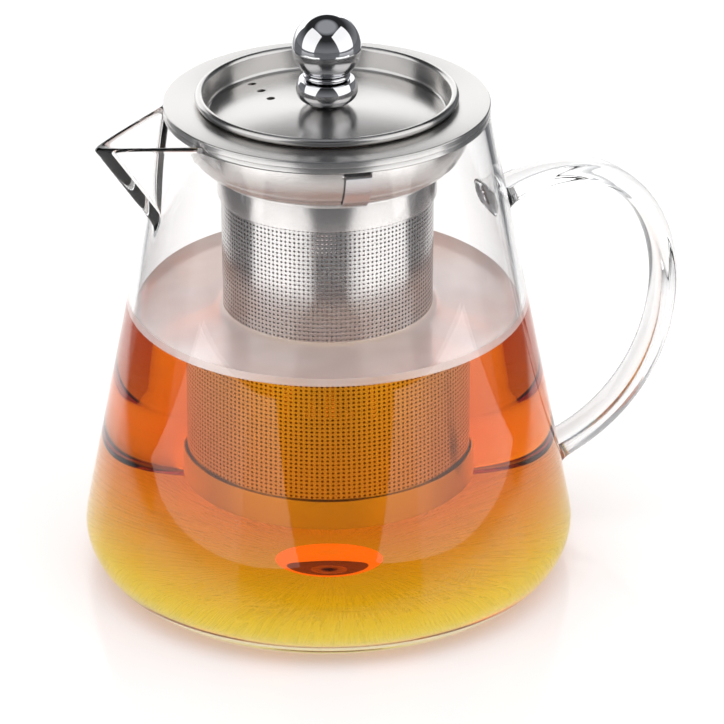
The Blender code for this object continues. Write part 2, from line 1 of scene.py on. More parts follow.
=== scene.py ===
"""Looks of a glass teapot with a lift-out tea infuser: every piece's fine surface and its finish.

Lengths are in metres and the frame is the packed model's: the jug's axis is Z, its base stands on
Z = 0, the beak points along -X and the handle along +X.
"""

import math

import bmesh
import bpy
import numpy as np
from bpy.props import FloatProperty, FloatVectorProperty, IntProperty, PointerProperty
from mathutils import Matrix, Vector


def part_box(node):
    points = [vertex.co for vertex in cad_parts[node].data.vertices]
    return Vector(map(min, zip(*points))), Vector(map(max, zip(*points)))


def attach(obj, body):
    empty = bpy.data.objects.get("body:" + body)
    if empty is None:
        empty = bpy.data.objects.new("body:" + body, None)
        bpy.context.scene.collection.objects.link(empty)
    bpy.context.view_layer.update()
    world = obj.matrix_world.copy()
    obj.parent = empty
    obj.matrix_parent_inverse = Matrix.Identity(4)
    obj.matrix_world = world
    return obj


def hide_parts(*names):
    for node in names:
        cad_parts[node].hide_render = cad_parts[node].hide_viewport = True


bl_info = {
    "name": "Glass Teapot with Infuser",
    "version": (1, 0, 0),
    "blender": (4, 5, 0),
    "location": "View3D > Sidebar > Teapot",
    "description": "Builds the fine pieces, finishes and studio of a glass teapot with a tea infuser",
    "category": "Add Mesh",
}

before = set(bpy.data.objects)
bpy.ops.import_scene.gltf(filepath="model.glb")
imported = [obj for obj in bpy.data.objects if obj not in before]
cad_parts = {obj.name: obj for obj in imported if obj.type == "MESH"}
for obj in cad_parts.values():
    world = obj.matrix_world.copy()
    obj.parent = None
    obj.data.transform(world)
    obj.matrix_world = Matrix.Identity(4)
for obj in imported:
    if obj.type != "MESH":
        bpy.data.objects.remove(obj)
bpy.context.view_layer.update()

MM = 0.001
GLASS_IOR = 1.47
WATER_IOR = 1.333
ROUND = 288  # segments round the turned steel pieces
KNOB_ROUND = 160
FIXING_ROUND = 96
TEA_ROUND = 240
BUILD_GAP = 0.3 * MM  # the CAD pieces stand this far apart where the real ones touch
BEAK_REACH = math.radians(75.0)  # the beak's facets have faded out at this angle from its middle
FLATTEST = 0.05  # a facet met at a lower slope than this is out of reach
STANDING = 0.5  # faces whose normals rise less than this stand, and the others lie
MARK_INSIDE = 0.6  # depth of the rod's mark inside the base, as a share of that outside
UPPER_PULL = np.array((50.1, 16.7)) * MM  # control points of the handle's curve, out and up from its ends
LOWER_PULL = np.array((47.1, 18.7)) * MM
RIM_LIP_INSET = 1.1 * MM  # the rim's inner lip stands inside the lid's edge
RIM_LIP_DEPTH = 3.2 * MM
CUP_LIP = 2.6 * MM  # width of the cup's edge under the floor
WASHER_BORE = 2.3 * MM
SHANK_RADIUS = 2.0 * MM
CREASE_DEGREES = 50.0  # edges of punched sheet that turn more than this stay sharp
NOISE_LOW, NOISE_HIGH = 0.3, 0.7  # nearly all of a noise's values lie between these
GLASS_SHADE = 0.96  # share of a lamp's light that one skin of glass passes on
TEA_SHADE = 0.97
POOL_END = 1.4  # the floor's lit pool has faded out where its oval has grown to this
FLOOR_HALF = 4.0  # half the side of the studio floor, in metres
POT_MIDDLE = 0.07  # height on the jug's axis that the softboxes face, in metres
CARD_AIM = 0.62  # the floor cards' light rises past the pot to this height
# A softbox: name, degrees round from the camera, degrees up, distance, size, watts, the height it
# faces and whether mirrors and glass show it.
SOFTBOXES = (
    ("left_softbox", -65, 30, 1.1, (1.1, 1.3), 5.0, POT_MIDDLE, True),
    ("right_softbox", 70, 30, 1.1, (1.3, 1.3), 6.2, POT_MIDDLE, True),
    ("back_softbox", 195, 14, 1.7, (2.2, 1.1), 10, POT_MIDDLE, True),
    ("overhead_fill", 180, 85, 1.7, (2.2, 2.2), 24, POT_MIDDLE, False),
    ("left_floor_card", -48, -71, 0.62, (0.22, 0.12), 0.11, CARD_AIM, True),
    ("right_floor_card", 55, -71, 0.62, (0.22, 0.12), 0.11, CARD_AIM, True),
)


# ---------------------------------------------------------------- settings


def linear(hex_colour):
    """Linear red, green and blue of an sRGB colour written as #RRGGBB."""
    encoded = np.array([int(hex_colour[i : i + 2], 16) for i in (1, 3, 5)]) / 255
    decoded = np.where(encoded <= 0.04045, encoded / 12.92, ((encoded + 0.055) / 1.055) ** 2.4)
    return tuple(float(channel) for channel in decoded)


def length(label, description, millimetres):
    """A length setting, with its default given in millimetres."""
    return FloatProperty(
        name=label,
        description=description,
        default=millimetres * MM,
        subtype="DISTANCE",
        unit="LENGTH",
        precision=5,
    )


def turn(label, description, degrees):
    """An angle setting, with its default given in degrees."""
    return FloatProperty(
        name=label, description=description, default=math.radians(degrees), subtype="ANGLE", unit="ROTATION"
    )


def colour(label, description, hex_colour):
    """A colour setting, with its default given as an sRGB hex value."""
    return FloatVectorProperty(
        name=label, description=description, default=linear(hex_colour), subtype="COLOR", min=0.0, max=1.0
    )


class TeapotGlass(bpy.types.PropertyGroup):
    """Sizes of the blown jug and its handle."""

    wall: length("Wall", "Thickness of the blown wall", 2.2)
    floor: length("Floor", "Thickness of the floor", 4.0)
    corner: length("Corner", "Outer radius round the base", 11.0)
    inner_corner: length("Inner corner", "Inner radius round the base", 8.0)
    dimple_radius: length("Dimple radius", "Radius of the mark left in the base by the blowing rod", 10.5)
    dimple_depth: length("Dimple depth", "Depth of that mark", 0.5)
    rim_overhang: length("Rim overhang", "How far the infuser's rim stands out past the mouth", 0.3)
    beak_drop: length("Beak drop", "Tip of the beak below the mouth", 2.6)
    beak_depth: length("Beak depth", "Foot of the beak's ridge below the mouth", 28.4)
    beak_half_angle: turn("Beak half angle", "Half the mouth's arc that the beak takes up", 24.0)
    beak_crease: length("Beak crease", "Softness of the crease between beak and wall", 1.2)
    beak_ridge: turn("Beak ridge", "Softness of the beak's ridge", 1.6)
    handle_width: length("Handle width", "Width of the handle's bar", 10.0)
    handle_thickness: length("Handle thickness", "Thickness of the handle's bar", 6.0)
    handle_top_drop: length("Upper weld drop", "Upper weld of the handle below the mouth", 30.5)
    handle_bottom: length("Lower weld height", "Height of the handle's lower weld", 18.4)
    weld_reach: length("Weld reach", "Start of the handle's curve outside the wall", 4.5)
    weld_fillet: length("Weld fillet", "Length over which the bar flares out onto the wall", 1.7)
    weld_flare: FloatProperty(name="Weld flare", description="Widening of the bar at the wall", default=0.42)


class TeapotTea(bpy.types.PropertyGroup):
    """The brewed tea."""

    level: length("Level", "Height of the tea above the table", 73.0)
    bite: length("Bite", "Overlap of tea and glass, so that no air shows between them", 0.2)
    climb: length("Climb", "Height of the meniscus against the glass", 1.9)
    climb_width: length("Climb width", "Width of that meniscus", 1.7)
    strength: FloatProperty(name="Strength", description="Absorption of the brew per metre", default=280.0)
    tint: colour("Tint", "Colour that a thin layer of the brew lets through", "#FEF772")


class TeapotInfuser(bpy.types.PropertyGroup):
    """Sizes of the infuser."""

    sheet: length("Sheet", "Thickness of the pressed steel", 0.5)
    rim_sheet: length("Rim sheet", "Thickness of the rim", 0.7)
    rim_edge: length("Rim edge", "Width of the folded outer edge", 1.3)
    collar_clearance: length("Collar clearance", "Collar to the inside of the mouth", 1.8)
    collar_lip: length("Collar lip", "Flat lip of the collar under the rim", 1.2)
    collar_step: length("Collar step", "Centre of the collar's curve inside the hem", 1.0)
    collar_height: length("Collar height", "Height of the collar's curve", 15.0)
    bead: length("Hem bead", "Height of the fine beads rolled into the hem", 0.16)
    hole_pitch: length("Hole pitch", "Distance between holes, centre to centre", 1.15)
    hole_diameter: length("Hole diameter", "Diameter of one hole", 0.62)
    plain_edge: length("Plain edge", "Unpunched border of the perforated sheet", 1.6)
    clip_count: IntProperty(name="Clips", description="Number of spring clips", default=3)
    clip_heading: turn("Clip heading", "Direction of the first clip about the jug's axis", -99.5)
    clip_width: length("Clip width", "Width of a spring leaf", 6.3)
    clip_gap: length("Clip gap", "Leaf to collar at the leaf's free end", 1.2)
    clip_hook: length("Clip hook", "Inward hook through the collar's slot", 2.6)
    clip_root: turn("Clip root", "Where a leaf starts along the collar's curve", 74.0)
    clip_end: turn("Clip end", "Where a leaf ends along the collar's curve", 15.5)
    slot_height: length("Slot height", "Height of the slot behind a leaf's hook", 2.0)
    slot_margin: length("Slot margin", "Slot beyond the hook at each side", 0.5)


class TeapotLid(bpy.types.PropertyGroup):
    """Sizes of the lid and its knob."""

    sheet: length("Sheet", "Thickness of the lid", 0.6)
    bead: length("Bead radius", "Radius of the rolled edge", 1.1)
    depth: length("Depth", "Top of the bead down to the gutter", 5.9)
    dome_rise: length("Dome rise", "Height of the dome above the gutter", 2.2)
    wall_taper: length("Wall taper", "How far the steep wall leans in", 0.5)
    gutter: length("Gutter round", "Radius where dome and wall meet", 1.2)
    vent_radius: length("Vent radius", "Radius of a steam vent", 1.1)
    vent_pitch: length("Vent pitch", "Distance between vents", 7.0)
    vent_margin: length("Vent margin", "Outermost vent to the dome's edge", 3.08)
    vent_heading: turn("Vent heading", "Direction of the outermost vent about the axis", 115.7)
    bore: length("Bore", "Radius of the bore for the knob's screw", 2.3)
    foot_undercut: length("Foot undercut", "Seat of the foot inside its widest place", 3.58)
    foot_shoulder: length("Foot shoulder", "Top of the foot inside its widest place", 0.89)
    foot_waist: length("Foot waist", "Widest place of the foot above its seat", 3.6)
    ball_seat: length("Ball seat", "Radius of the flat under the ball", 5.87)


class TeapotStage(bpy.types.PropertyGroup):
    """Camera and studio."""

    azimuth: turn("Azimuth", "Camera's direction round the teapot, from its front", -21.0)
    elevation: turn("Elevation", "Camera's height above the horizon", 25.82)
    distance: length("Distance", "Camera to the aiming height on the jug's axis", 891.0)
    aim_height: length("Aim height", "Height on the jug's axis that the camera is set up on", 60.75)
    aim_right: length("Aim right", "Middle of the picture to the right of that point", 8.87)
    aim_down: length("Aim down", "Middle of the picture below that point", 5.32)
    lens: FloatProperty(name="Lens", description="Focal length in millimetres", default=169.1)
    floor_colour: colour("Floor", "Colour of the studio floor", "#F4F3F2")
    # strength of the painted glow given to the floor inside its lit pool
    painted_floor_glow: FloatProperty(name="Floor glow", description="Light that the floor gives off", default=0.22)
    pool_length: length("Pool length", "Half the length of the floor's lit pool, along the view", 330.0)
    pool_width: length("Pool width", "Half the width of that pool beside the teapot", 170.0)
    pool_shift: length("Pool shift", "Middle of that pool behind the teapot", 185.0)


GROUPS = {
    "teapot_glass": TeapotGlass,
    "teapot_tea": TeapotTea,
    "teapot_infuser": TeapotInfuser,
    "teapot_lid": TeapotLid,
    "teapot_stage": TeapotStage,
}


# ---------------------------------------------------------------- mesh tools


def reach(node):
    """Radius of a turned CAD node."""
    return float(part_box(node)[1][0])


def bottom(node):
    """Height of a CAD node's lowest point."""
    return float(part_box(node)[0][2])


def top(node):
    """Height of a CAD node's highest point."""
    return float(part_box(node)[1][2])


def arc(centre, radius, start, end, steps, flat=1.0):
    """(r, z) points of a circle about centre, from start to end in degrees from +r, with z scaled by flat."""
    angle = np.radians(np.linspace(start, end, steps + 1))
    return np.column_stack((centre[0] + radius * np.cos(angle), centre[1] + radius * flat * np.sin(angle)))


def rounded(corners, fillet, steps=5):
    """A closed outline with each corner P swapped for the parabola (1-t)^2 S + 2t(1-t) P + t^2 E, where S
    and E lie on the two sides a fillet away from P, or less on a short side."""
    corners = np.asarray(corners, float)
    share = np.broadcast_to(fillet, len(corners))

    def leave(side):
        size = np.maximum(np.linalg.norm(side, axis=1), 1e-9)
        return corners + side * (np.minimum(share, 0.45 * size) / size)[:, None]

    start = leave(np.roll(corners, 1, axis=0) - corners)[:, None]
    end = leave(np.roll(corners, -1, axis=0) - corners)[:, None]
    t = np.linspace(0, 1, steps + 1)[None, :, None]
    curve = (1 - t) ** 2 * start + 2 * t * (1 - t) * corners[:, None] + t**2 * end
    return curve.reshape(-1, 2)


def grid_quads(rows, columns, close_rows, close_columns):
    """Quads between neighbouring places of a rows x columns grid of vertex numbers."""
    index = np.arange(rows * columns).reshape(rows, columns)
    if close_rows:
        index = np.vstack((index, index[:1]))
    if close_columns:
        index = np.hstack((index, index[:, :1]))
    corners = (index[:-1, :-1], index[:-1, 1:], index[1:, 1:], index[1:, :-1])
    return np.stack(corners, axis=-1).reshape(-1, 4)


def write_mesh(name, vertices, face_sets):
    """A mesh from an array of vertices and arrays of faces, each array with one number of corners."""
    mesh = bpy.data.meshes.new(name)
    sizes = np.concatenate([np.full(len(faces), faces.shape[1]) for faces in face_sets])
    loops = np.concatenate([faces.ravel() for faces in face_sets]).astype(np.int32)
    mesh.vertices.add(len(vertices))
    mesh.vertices.foreach_set("co", np.asarray(vertices, np.float32).ravel())
    mesh.loops.add(len(loops))
    mesh.loops.foreach_set("vertex_index", loops)
    mesh.polygons.add(len(sizes))
    mesh.polygons.foreach_set("loop_start", (np.cumsum(sizes) - sizes).astype(np.int32))
    mesh.update(calc_edges=True)
    mesh.validate()
    return mesh


def close_up(mesh, merge=1e-7):
    """Merges the doubles at seams and poles and turns every face outwards."""
    bm = bmesh.new()
    bm.from_mesh(mesh)
    bmesh.ops.remove_doubles(bm, verts=bm.verts, dist=merge)
    bmesh.ops.recalc_face_normals(bm, faces=bm.faces)
    bm.to_mesh(mesh)
    bm.free()


def smooth(mesh, sharp_degrees=40.0):
    """Shades a mesh smooth, with the edges that turn more than an angle left sharp."""
    mesh.shade_smooth()
    mesh.set_sharp_from_angle(angle=math.radians(sharp_degrees))


def add_piece(name, mesh, stock, body, nodes=()):
    """Puts a finished mesh in the scene as one piece of a body, standing for CAD nodes."""
    mesh.materials.append(stock)
    made = bpy.data.objects.new(name, mesh)
    bpy.context.scene.collection.objects.link(made)
    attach(made, body)
    if nodes:
        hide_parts(*nodes)
    return made


def skin_mesh(name, points, close_rows=False, close_columns=True):
    """A closed mesh over a grid of points, rows x columns x 3."""
    rows, columns = points.shape[:2]
    mesh = write_mesh(name, points.reshape(-1, 3), [grid_quads(rows, columns, close_rows, close_columns)])
    close_up(mesh)
    smooth(mesh)
    return mesh


def turned_mesh(name, outline, segments=ROUND, open_ended=False):
    """Carries an (r, z) outline once round the axis: x = r cos a, y = r sin a. The outline closes on itself
    unless it starts and ends on the axis."""
    angle = np.linspace(0, 2 * np.pi, segments, endpoint=False)
    radius, height = outline[:, :1], outline[:, 1:]
    points = np.stack(
        (radius * np.cos(angle), radius * np.sin(angle), height + 0 * angle), axis=-1
    )
    return skin_mesh(name, points, close_rows=not open_ended)


def cut(mesh, cutters):
    """Takes the cutters' meshes out of a mesh with exact Booleans, and gives the mesh that is left."""
    helper = bpy.data.objects.new("being_cut", mesh)
    bpy.context.scene.collection.objects.link(helper)
    tools = []
    for cutter in cutters:
        tool = bpy.data.objects.new("cutter", cutter)
        bpy.context.scene.collection.objects.link(tool)
        change = helper.modifiers.new("cut", "BOOLEAN")
        change.operation = "DIFFERENCE"
        change.object = tool
        tools.append(tool)
    bpy.context.view_layer.update()
    shown = helper.evaluated_get(bpy.context.evaluated_depsgraph_get())
    left = bpy.data.meshes.new_from_object(shown)
    left.name = mesh.name
    for tool in [*tools, helper]:
        bpy.data.objects.remove(tool)
    left.materials.clear()
    smooth(left)
    return left


# ---------------------------------------------------------------- materials


def node(tree, kind, inputs=None, **settings):
    """Adds a node of a kind to a tree, with its settings, and values or links for its inputs."""
    made = tree.nodes.new(kind)
    for key, value in settings.items():
        setattr(made, key, value)
    for key, value in (inputs or {}).items():
        if isinstance(value, bpy.types.NodeSocket):
            tree.links.new(value, made.inputs[key])
        else:
            made.inputs[key].default_value = value
    return made


def noise(tree, place, scale, detail, roughness=0.5):
    """Noise over a place, with about so many waves to the metre."""
    inputs = {"Vector": place, "Scale": scale, "Detail": detail, "Roughness": roughness}
    return node(tree, "ShaderNodeTexNoise", inputs).outputs["Fac"]


def bumped(tree, height, strength, depth):
    """The normal of a surface that a height lifts, by up to a depth in millimetres."""
    inputs = {"Height": height, "Strength": strength, "Distance": depth * MM}
    return node(tree, "ShaderNodeBump", inputs).outputs["Normal"]


def ranged(tree, value, low, high, to_low=0.0, to_high=1.0, **settings):
    """A value's range carried onto another one, and held at its ends."""
    inputs = {"Value": value, "From Min": low, "From Max": high, "To Min": to_low, "To Max": to_high}
    return node(tree, "ShaderNodeMapRange", inputs, **settings).outputs["Result"]


def computed(tree, operation, first, second):
    """Two numbers put together by an operation."""
    return node(tree, "ShaderNodeMath", {0: first, 1: second}, operation=operation).outputs["Value"]


def blend(tree, share, first, second):
    """Two shaders mixed by the second one's share."""
    return node(tree, "ShaderNodeMixShader", {"Fac": share, 1: first, 2: second}).outputs["Shader"]


def new_material(name):
    """An empty node material: its tree, its output and its Object coordinates."""
    stock = bpy.data.materials.new(name)
    stock.use_nodes = True
    tree = stock.node_tree
    tree.nodes.clear()
    output = node(tree, "ShaderNodeOutputMaterial")
    place = node(tree, "ShaderNodeTexCoord").outputs["Object"]
    return stock, tree, output, place


def let_lamps_through(tree, output, shader, shade):
    """Ends a clear material: lamps reach what stands behind it, and other rays meet the shader."""
    lamp_ray = node(tree, "ShaderNodeLightPath").outputs["Is Shadow Ray"]
    pass_on = node(tree, "ShaderNodeBsdfTransparent", {"Color": (shade, shade, shade, 1.0)})
    tree.links.new(blend(tree, lamp_ray, shader, pass_on.outputs["BSDF"]), output.inputs["Surface"])


def clear_skin(tree, clearness, ior, normal):
    """A dead smooth surface that bends light and lets in a share of it."""
    inputs = {
        "Base Color": (clearness, clearness, clearness, 1.0),
        "Roughness": 0.0,
        "IOR": ior,
        "Transmission Weight": 1.0,
        "Normal": normal,
    }
    return node(tree, "ShaderNodeBsdfPrincipled", inputs).outputs["BSDF"]


def blown_glass(name, ior, clearness=1.0):
    """Blown borosilicate glass, fire-polished. It is water-clear with a dead smooth skin, and the slow
    waves left by blowing, some 20 mm long and a few hundredths deep, bend what is seen through it. The
    index of refraction is that against what the skin touches, and the clearness is the share of light
    that a skin lets in."""
    stock, tree, output, place = new_material(name)
    waves = bumped(tree, noise(tree, place, 45.0, 1.0, 0.4), 0.06, 1.0)
    let_lamps_through(tree, output, clear_skin(tree, clearness, ior, waves), GLASS_SHADE)
    return stock


def borosilicate_glass():
    """The glass against air."""
    return blown_glass("blown_borosilicate_glass", GLASS_IOR)


def drawn_glass():
    """The handle's solid bar, some three times as thick as the wall and so a little greyer."""
    return blown_glass("drawn_borosilicate_glass", GLASS_IOR, 0.9)


def wetted_glass():
    """The glass against tea, where light hardly bends and hardly any is sent back."""
    return blown_glass("wetted_borosilicate_glass", GLASS_IOR / WATER_IOR)


def brewed_tea_liquid(settings):
    """Black tea, brewed clear. It is water with a tint that deepens with depth, from yellow in a thin
    layer to a red amber through the whole pot. A painted sheen lies in patches on its top: a pale, glossy
    layer with a raised reflectance that stands in for light reflected off the surface. The glass's wetted
    skin does the bending at the wall, so there the tea lets light straight in."""
    stock, tree, output, place = new_material("brewed_tea_liquid")
    water = clear_skin(tree, 1.0, WATER_IOR, bumped(tree, noise(tree, place, 60.0, 1.0), 0.03, 1.0))
    # painted sheen: a pale pink-white glossy layer with raised reflectance (IOR 2.6), standing in for light
    # reflected off the tea's top
    painted_top_sheen = node(
        tree,
        "ShaderNodeBsdfPrincipled",
        {"Base Color": (*linear("#FFF1EF"), 1.0), "Roughness": 0.22, "IOR": 2.6},
    )
    # patches of the top where the painted sheen lies
    cover = ranged(tree, noise(tree, place, 35.0, 2.0), NOISE_LOW, NOISE_HIGH, 0.55, 0.85)
    height = node(tree, "ShaderNodeSeparateXYZ", {"Vector": place}).outputs["Z"]
    on_top = ranged(tree, height, settings.level - 0.05 * MM, settings.level - 0.02 * MM)
    side = node(tree, "ShaderNodeBsdfTransparent").outputs["BSDF"]
    skin = blend(tree, on_top, side, blend(tree, cover, water, painted_top_sheen.outputs["BSDF"]))
    let_lamps_through(tree, output, skin, TEA_SHADE)
    depth_tint = {"Color": (*settings.tint, 1.0), "Density": settings.strength}
    tint = node(tree, "ShaderNodeVolumeAbsorption", depth_tint)
    tree.links.new(tint.outputs["Volume"], output.inputs["Volume"])
    return stock


def steel(name, hex_colour, roughness, spread, grain_mm, stretch, depth, anisotropy=0.0, turned_finish=False):
    """Stainless steel with a grain: noise stretched along the rubbing direction, grain_mm wide, moves the
    roughness by spread and lifts the surface by depth. A turned finish has its grain round the axis."""
    stock, tree, output, place = new_material(name)
    if turned_finish:
        split = node(tree, "ShaderNodeSeparateXYZ", {"Vector": place}).outputs
        flat = node(tree, "ShaderNodeCombineXYZ", {"X": split["X"], "Y": split["Y"]}).outputs["Vector"]
        radius = node(tree, "ShaderNodeVectorMath", {0: flat}, operation="LENGTH").outputs["Value"]
        place = node(tree, "ShaderNodeCombineXYZ", {"X": radius, "Z": split["Z"]}).outputs["Vector"]
    lay = node(tree, "ShaderNodeMapping", {"Vector": place, "Scale": stretch}).outputs["Vector"]
    grain = noise(tree, lay, 1 / (grain_mm * MM), 3.0, 0.6)
    vary = ranged(tree, grain, NOISE_LOW, NOISE_HIGH, roughness - spread, roughness + spread)
    inputs = {
        "Base Color": (*linear(hex_colour), 1.0),
        "Metallic": 1.0,
        "Roughness": vary,
        "Normal": bumped(tree, grain, 0.5, depth),
        "Anisotropic": anisotropy,
    }
    if anisotropy:
        along = node(tree, "ShaderNodeTangent", direction_type="RADIAL", axis="Z")
        inputs["Tangent"] = along.outputs["Tangent"]
        inputs["Anisotropic Rotation"] = 0.25
    shader = node(tree, "ShaderNodeBsdfPrincipled", inputs)
    tree.links.new(shader.outputs["BSDF"], output.inputs["Surface"])
    return stock


def spun_stainless():
    """18/8 stainless spun on a lathe and rubbed with fine abrasive: a soft sheen that fans out from the
    axis. Its rings, really 0.05 mm apart, are drawn 0.25 mm apart so that they show."""
    return steel("spun_stainless", "#D2D0CE", 0.24, 0.02, 0.25, (1.0, 1.0, 1.0), 0.0004, 0.7, True)


def satin_sheet_stainless():
    """Cold-rolled 18/8 sheet with a satin finish, rolled up: lines 0.4 mm apart run round the basket."""
    return steel("satin_sheet_stainless", "#D6D3D1", 0.21, 0.012, 0.4, (0.1, 0.1, 1.0), 0.0002, 0.75)


def mirror_stainless():
    """Buffed 18/8 stainless, as bright as chrome, with faint buffing haze in cloudy patches 4 mm wide."""
    return steel("mirror_stainless", "#E6E6E8", 0.035, 0.02, 4.0, (1.0, 1.0, 1.0), 0.002)


def rolled_stainless():
    """Spring steel strip as it leaves the mill: bright, with fine lines along the strip."""
    return steel("rolled_stainless", "#D6D6D8", 0.16, 0.04, 0.2, (1.0, 1.0, 0.1), 0.003)


def studio_room():
    """A dim room, by the height of the direction: grey walls near the horizon, dark above them, and a grey
    patch overhead. What is seen through glass or tea is the walls' grey all over, as card round the set."""
    world = bpy.data.worlds.new("studio_room")
    world.use_nodes = True
    tree = world.node_tree
    tree.nodes.clear()
    place = node(tree, "ShaderNodeTexCoord").outputs["Generated"]
    height = node(tree, "ShaderNodeSeparateXYZ", {"Vector": place}).outputs["Z"]
    walls = ranged(tree, height, 0.1, 0.6, 0.8, 0.1)
    overhead = ranged(tree, height, 0.82, 0.92, 0.0, 1.3)
    behind_glass = node(tree, "ShaderNodeLightPath").outputs["Is Transmission Ray"]
    strength = computed(tree, "MAXIMUM", computed(tree, "MAXIMUM", walls, behind_glass), overhead)
    shade = {"Color": (*linear("#8A8C90"), 1.0), "Strength": strength}
    room = node(tree, "ShaderNodeBackground", shade)
    output = node(tree, "ShaderNodeOutputWorld")
    tree.links.new(room.outputs["Background"], output.inputs["Surface"])
    return world


def studio_floor(settings):
    """Polished white acrylic sheet under a clear skin that mirrors a little, with a pool of light painted on
    it: a painted glow and the white, which fade outside the pool, the glow to nothing and the white to a
    painted grey shade, where x^4 + y^4 grows past 1. Here x and y are the places across and along it, as
    shares of its half sizes."""
    stock, tree, output, place = new_material("white_acrylic_with_painted_light_pool")
    behind = sphere_point(settings.azimuth + math.pi, 0.0, 1.0, 0.0) / settings.pool_length
    beside = sphere_point(settings.azimuth + math.pi / 2, 0.0, 1.0, 0.0) / settings.pool_width
    along, across = (
        node(tree, "ShaderNodeVectorMath", {0: place, 1: way}, operation="DOT_PRODUCT").outputs["Value"]
        for way in (behind, beside)
    )
    along = computed(tree, "SUBTRACT", along, settings.pool_shift / settings.pool_length)
    spot = node(tree, "ShaderNodeCombineXYZ", {"X": across, "Y": along}).outputs["Vector"]
    squares = node(tree, "ShaderNodeVectorMath", {0: spot, 1: spot}, operation="MULTIPLY")
    away = node(tree, "ShaderNodeVectorMath", {0: squares.outputs["Vector"]}, operation="LENGTH")
    pool = ranged(tree, away.outputs["Value"], 1.0, POOL_END, 1.0, 0.0, interpolation_type="SMOOTHSTEP")
    # painted pool of light: white inside the oval, fading to a painted grey shade outside it
    body = node(
        tree,
        "ShaderNodeMix",
        {"Factor": pool, "A": (*linear("#6E6F72"), 1.0), "B": (*settings.floor_colour, 1.0)},
        data_type="RGBA",
    )
    shader = node(
        tree,
        "ShaderNodeBsdfPrincipled",
        {
            "Base Color": body.outputs[2],
            "Roughness": ranged(tree, noise(tree, place, 6.0, 2.0), 0.0, 1.0, 0.10, 0.16),
            "IOR": 1.45,
            "Emission Color": (*settings.floor_colour, 1.0),
            # painted glow, only inside the pool; the floor is no lamp
            "Emission Strength": computed(tree, "MULTIPLY", pool, settings.painted_floor_glow),
        },
    )
    tree.links.new(shader.outputs["BSDF"], output.inputs["Surface"])
    return stock


MATERIAL_MAKERS = {
    "borosilicate_glass": borosilicate_glass,
    "wetted_glass": wetted_glass,
    "drawn_glass": drawn_glass,
    "spun_stainless": spun_stainless,
    "satin_sheet_stainless": satin_sheet_stainless,
    "mirror_stainless": mirror_stainless,
    "rolled_stainless": rolled_stainless,
}
MADE = {}


def stock_of(kind):
    """The material of a kind, made once."""
    if kind not in MADE:
        MADE[kind] = MATERIAL_MAKERS[kind]()
    return MADE[kind]


# ---------------------------------------------------------------- glass shapes


class JugForm:
    """The jug's skin as functions of height, angle and depth below the outer surface.

    The wall is a cone tangent to the corner round the base. The beak is a plane facet at each side,
    through its tip, the foot of its ridge and the mouth's circle at its half angle."""

    def __init__(self, glass):
        self.glass = glass
        self.base = reach("jug_body")
        self.height = top("jug_body")
        self.mouth = reach("infuser_rim") - glass.rim_overhang
        self.tip = -float(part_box("jug_body")[0][0])
        self.corner = np.array((self.base - glass.corner, glass.corner))
        to_mouth = np.array((self.mouth, self.height)) - self.corner
        lean = math.atan2(-to_mouth[0], to_mouth[1])
        self.tilt = lean + math.asin(glass.corner / np.linalg.norm(to_mouth))
        self.normal = np.array((math.cos(self.tilt), math.sin(self.tilt)))
        self.level = self.normal @ (self.mouth, self.height)
        self.beak_foot = self.height - glass.beak_depth
        tip = np.array((self.tip, 0, self.height - glass.beak_drop))
        foot = np.array((self.wall(self.beak_foot), 0, self.beak_foot))
        side = glass.beak_half_angle
        mouth = np.array((self.mouth * math.cos(side), self.mouth * math.sin(side), self.height))
        facet = np.cross(foot - tip, mouth - tip)
        self.facet = facet / np.linalg.norm(facet) * np.sign(facet[0])
        self.facet_level = self.facet @ tip

    def wall(self, height, depth=0.0):
        """Radius of the cone at a height."""
        return (self.level - depth - self.normal[1] * height) / self.normal[0]

    def inner_corner(self, depth):
        """Centre of the corner inside, tangent to the wall at a depth and to the floor."""
        radius = self.glass.inner_corner
        height = self.glass.floor + radius
        return np.array((self.wall(height, depth + radius), height))

    def beak(self, angle, height, depth):
        """Radius of the facet at an angle from the beak's middle, 0 where it is out of reach."""
        soft = np.sqrt(angle**2 + self.glass.beak_ridge**2)
        slope = self.facet[0] * np.cos(soft) + self.facet[1] * np.sin(soft)
        radius = (self.facet_level - depth - self.facet[2] * height) / np.maximum(slope, FLATTEST)
        return np.where((soft < BEAK_REACH) & (slope > FLATTEST), radius, 0.0)

    def surface(self, angle, height, depth):
        """Points of the skin. Wall w and facet f meet in the soft crease
        r = (w + f + sqrt((w - f)^2 + c^2)) / 2, which fades out away from the beak, and the lip sinks
        towards the tip."""
        glass = self.glass
        share = np.clip((height - self.beak_foot) / glass.beak_depth, 0, None)
        reach_out = np.clip(self.beak(angle, height, depth) - self.wall(height, depth), 0, None)
        sunk = np.minimum(reach_out / (self.tip - self.mouth), 1)
        lowered = height - glass.beak_drop * share * sunk
        wall = self.wall(lowered, depth)
        facet = self.beak(angle, lowered, depth)
        spread = np.sqrt((wall - facet) ** 2 + glass.beak_crease**2)
        fade = np.clip(4 * (1 - np.abs(angle) / BEAK_REACH), 0, 1)
        fade = fade * np.clip((height - self.beak_foot + glass.corner) / glass.corner, 0, 1)
        radius = wall + 0.5 * fade * (spread + facet - wall)
        return np.stack((-radius * np.cos(angle), radius * np.sin(angle), lowered + 0 * radius), axis=-1)


def jug_angles():
    """Angles round the jug from the beak's middle, close together over the beak."""
    fine = np.radians(np.linspace(0, 36, 91))
    coarse = np.radians(np.linspace(36, 180, 97))[1:]
    half = np.concatenate((fine, coarse))
    return np.concatenate((-half[1:-1][::-1], half))


def rings(outline, angle):
    """An (r, z) outline carried round the axis, measured from the beak's middle."""
    radius, height = outline[:, :1], outline[:, 1:]
    return np.stack((-radius * np.cos(angle), radius * np.sin(angle), height + 0 * angle), axis=-1)


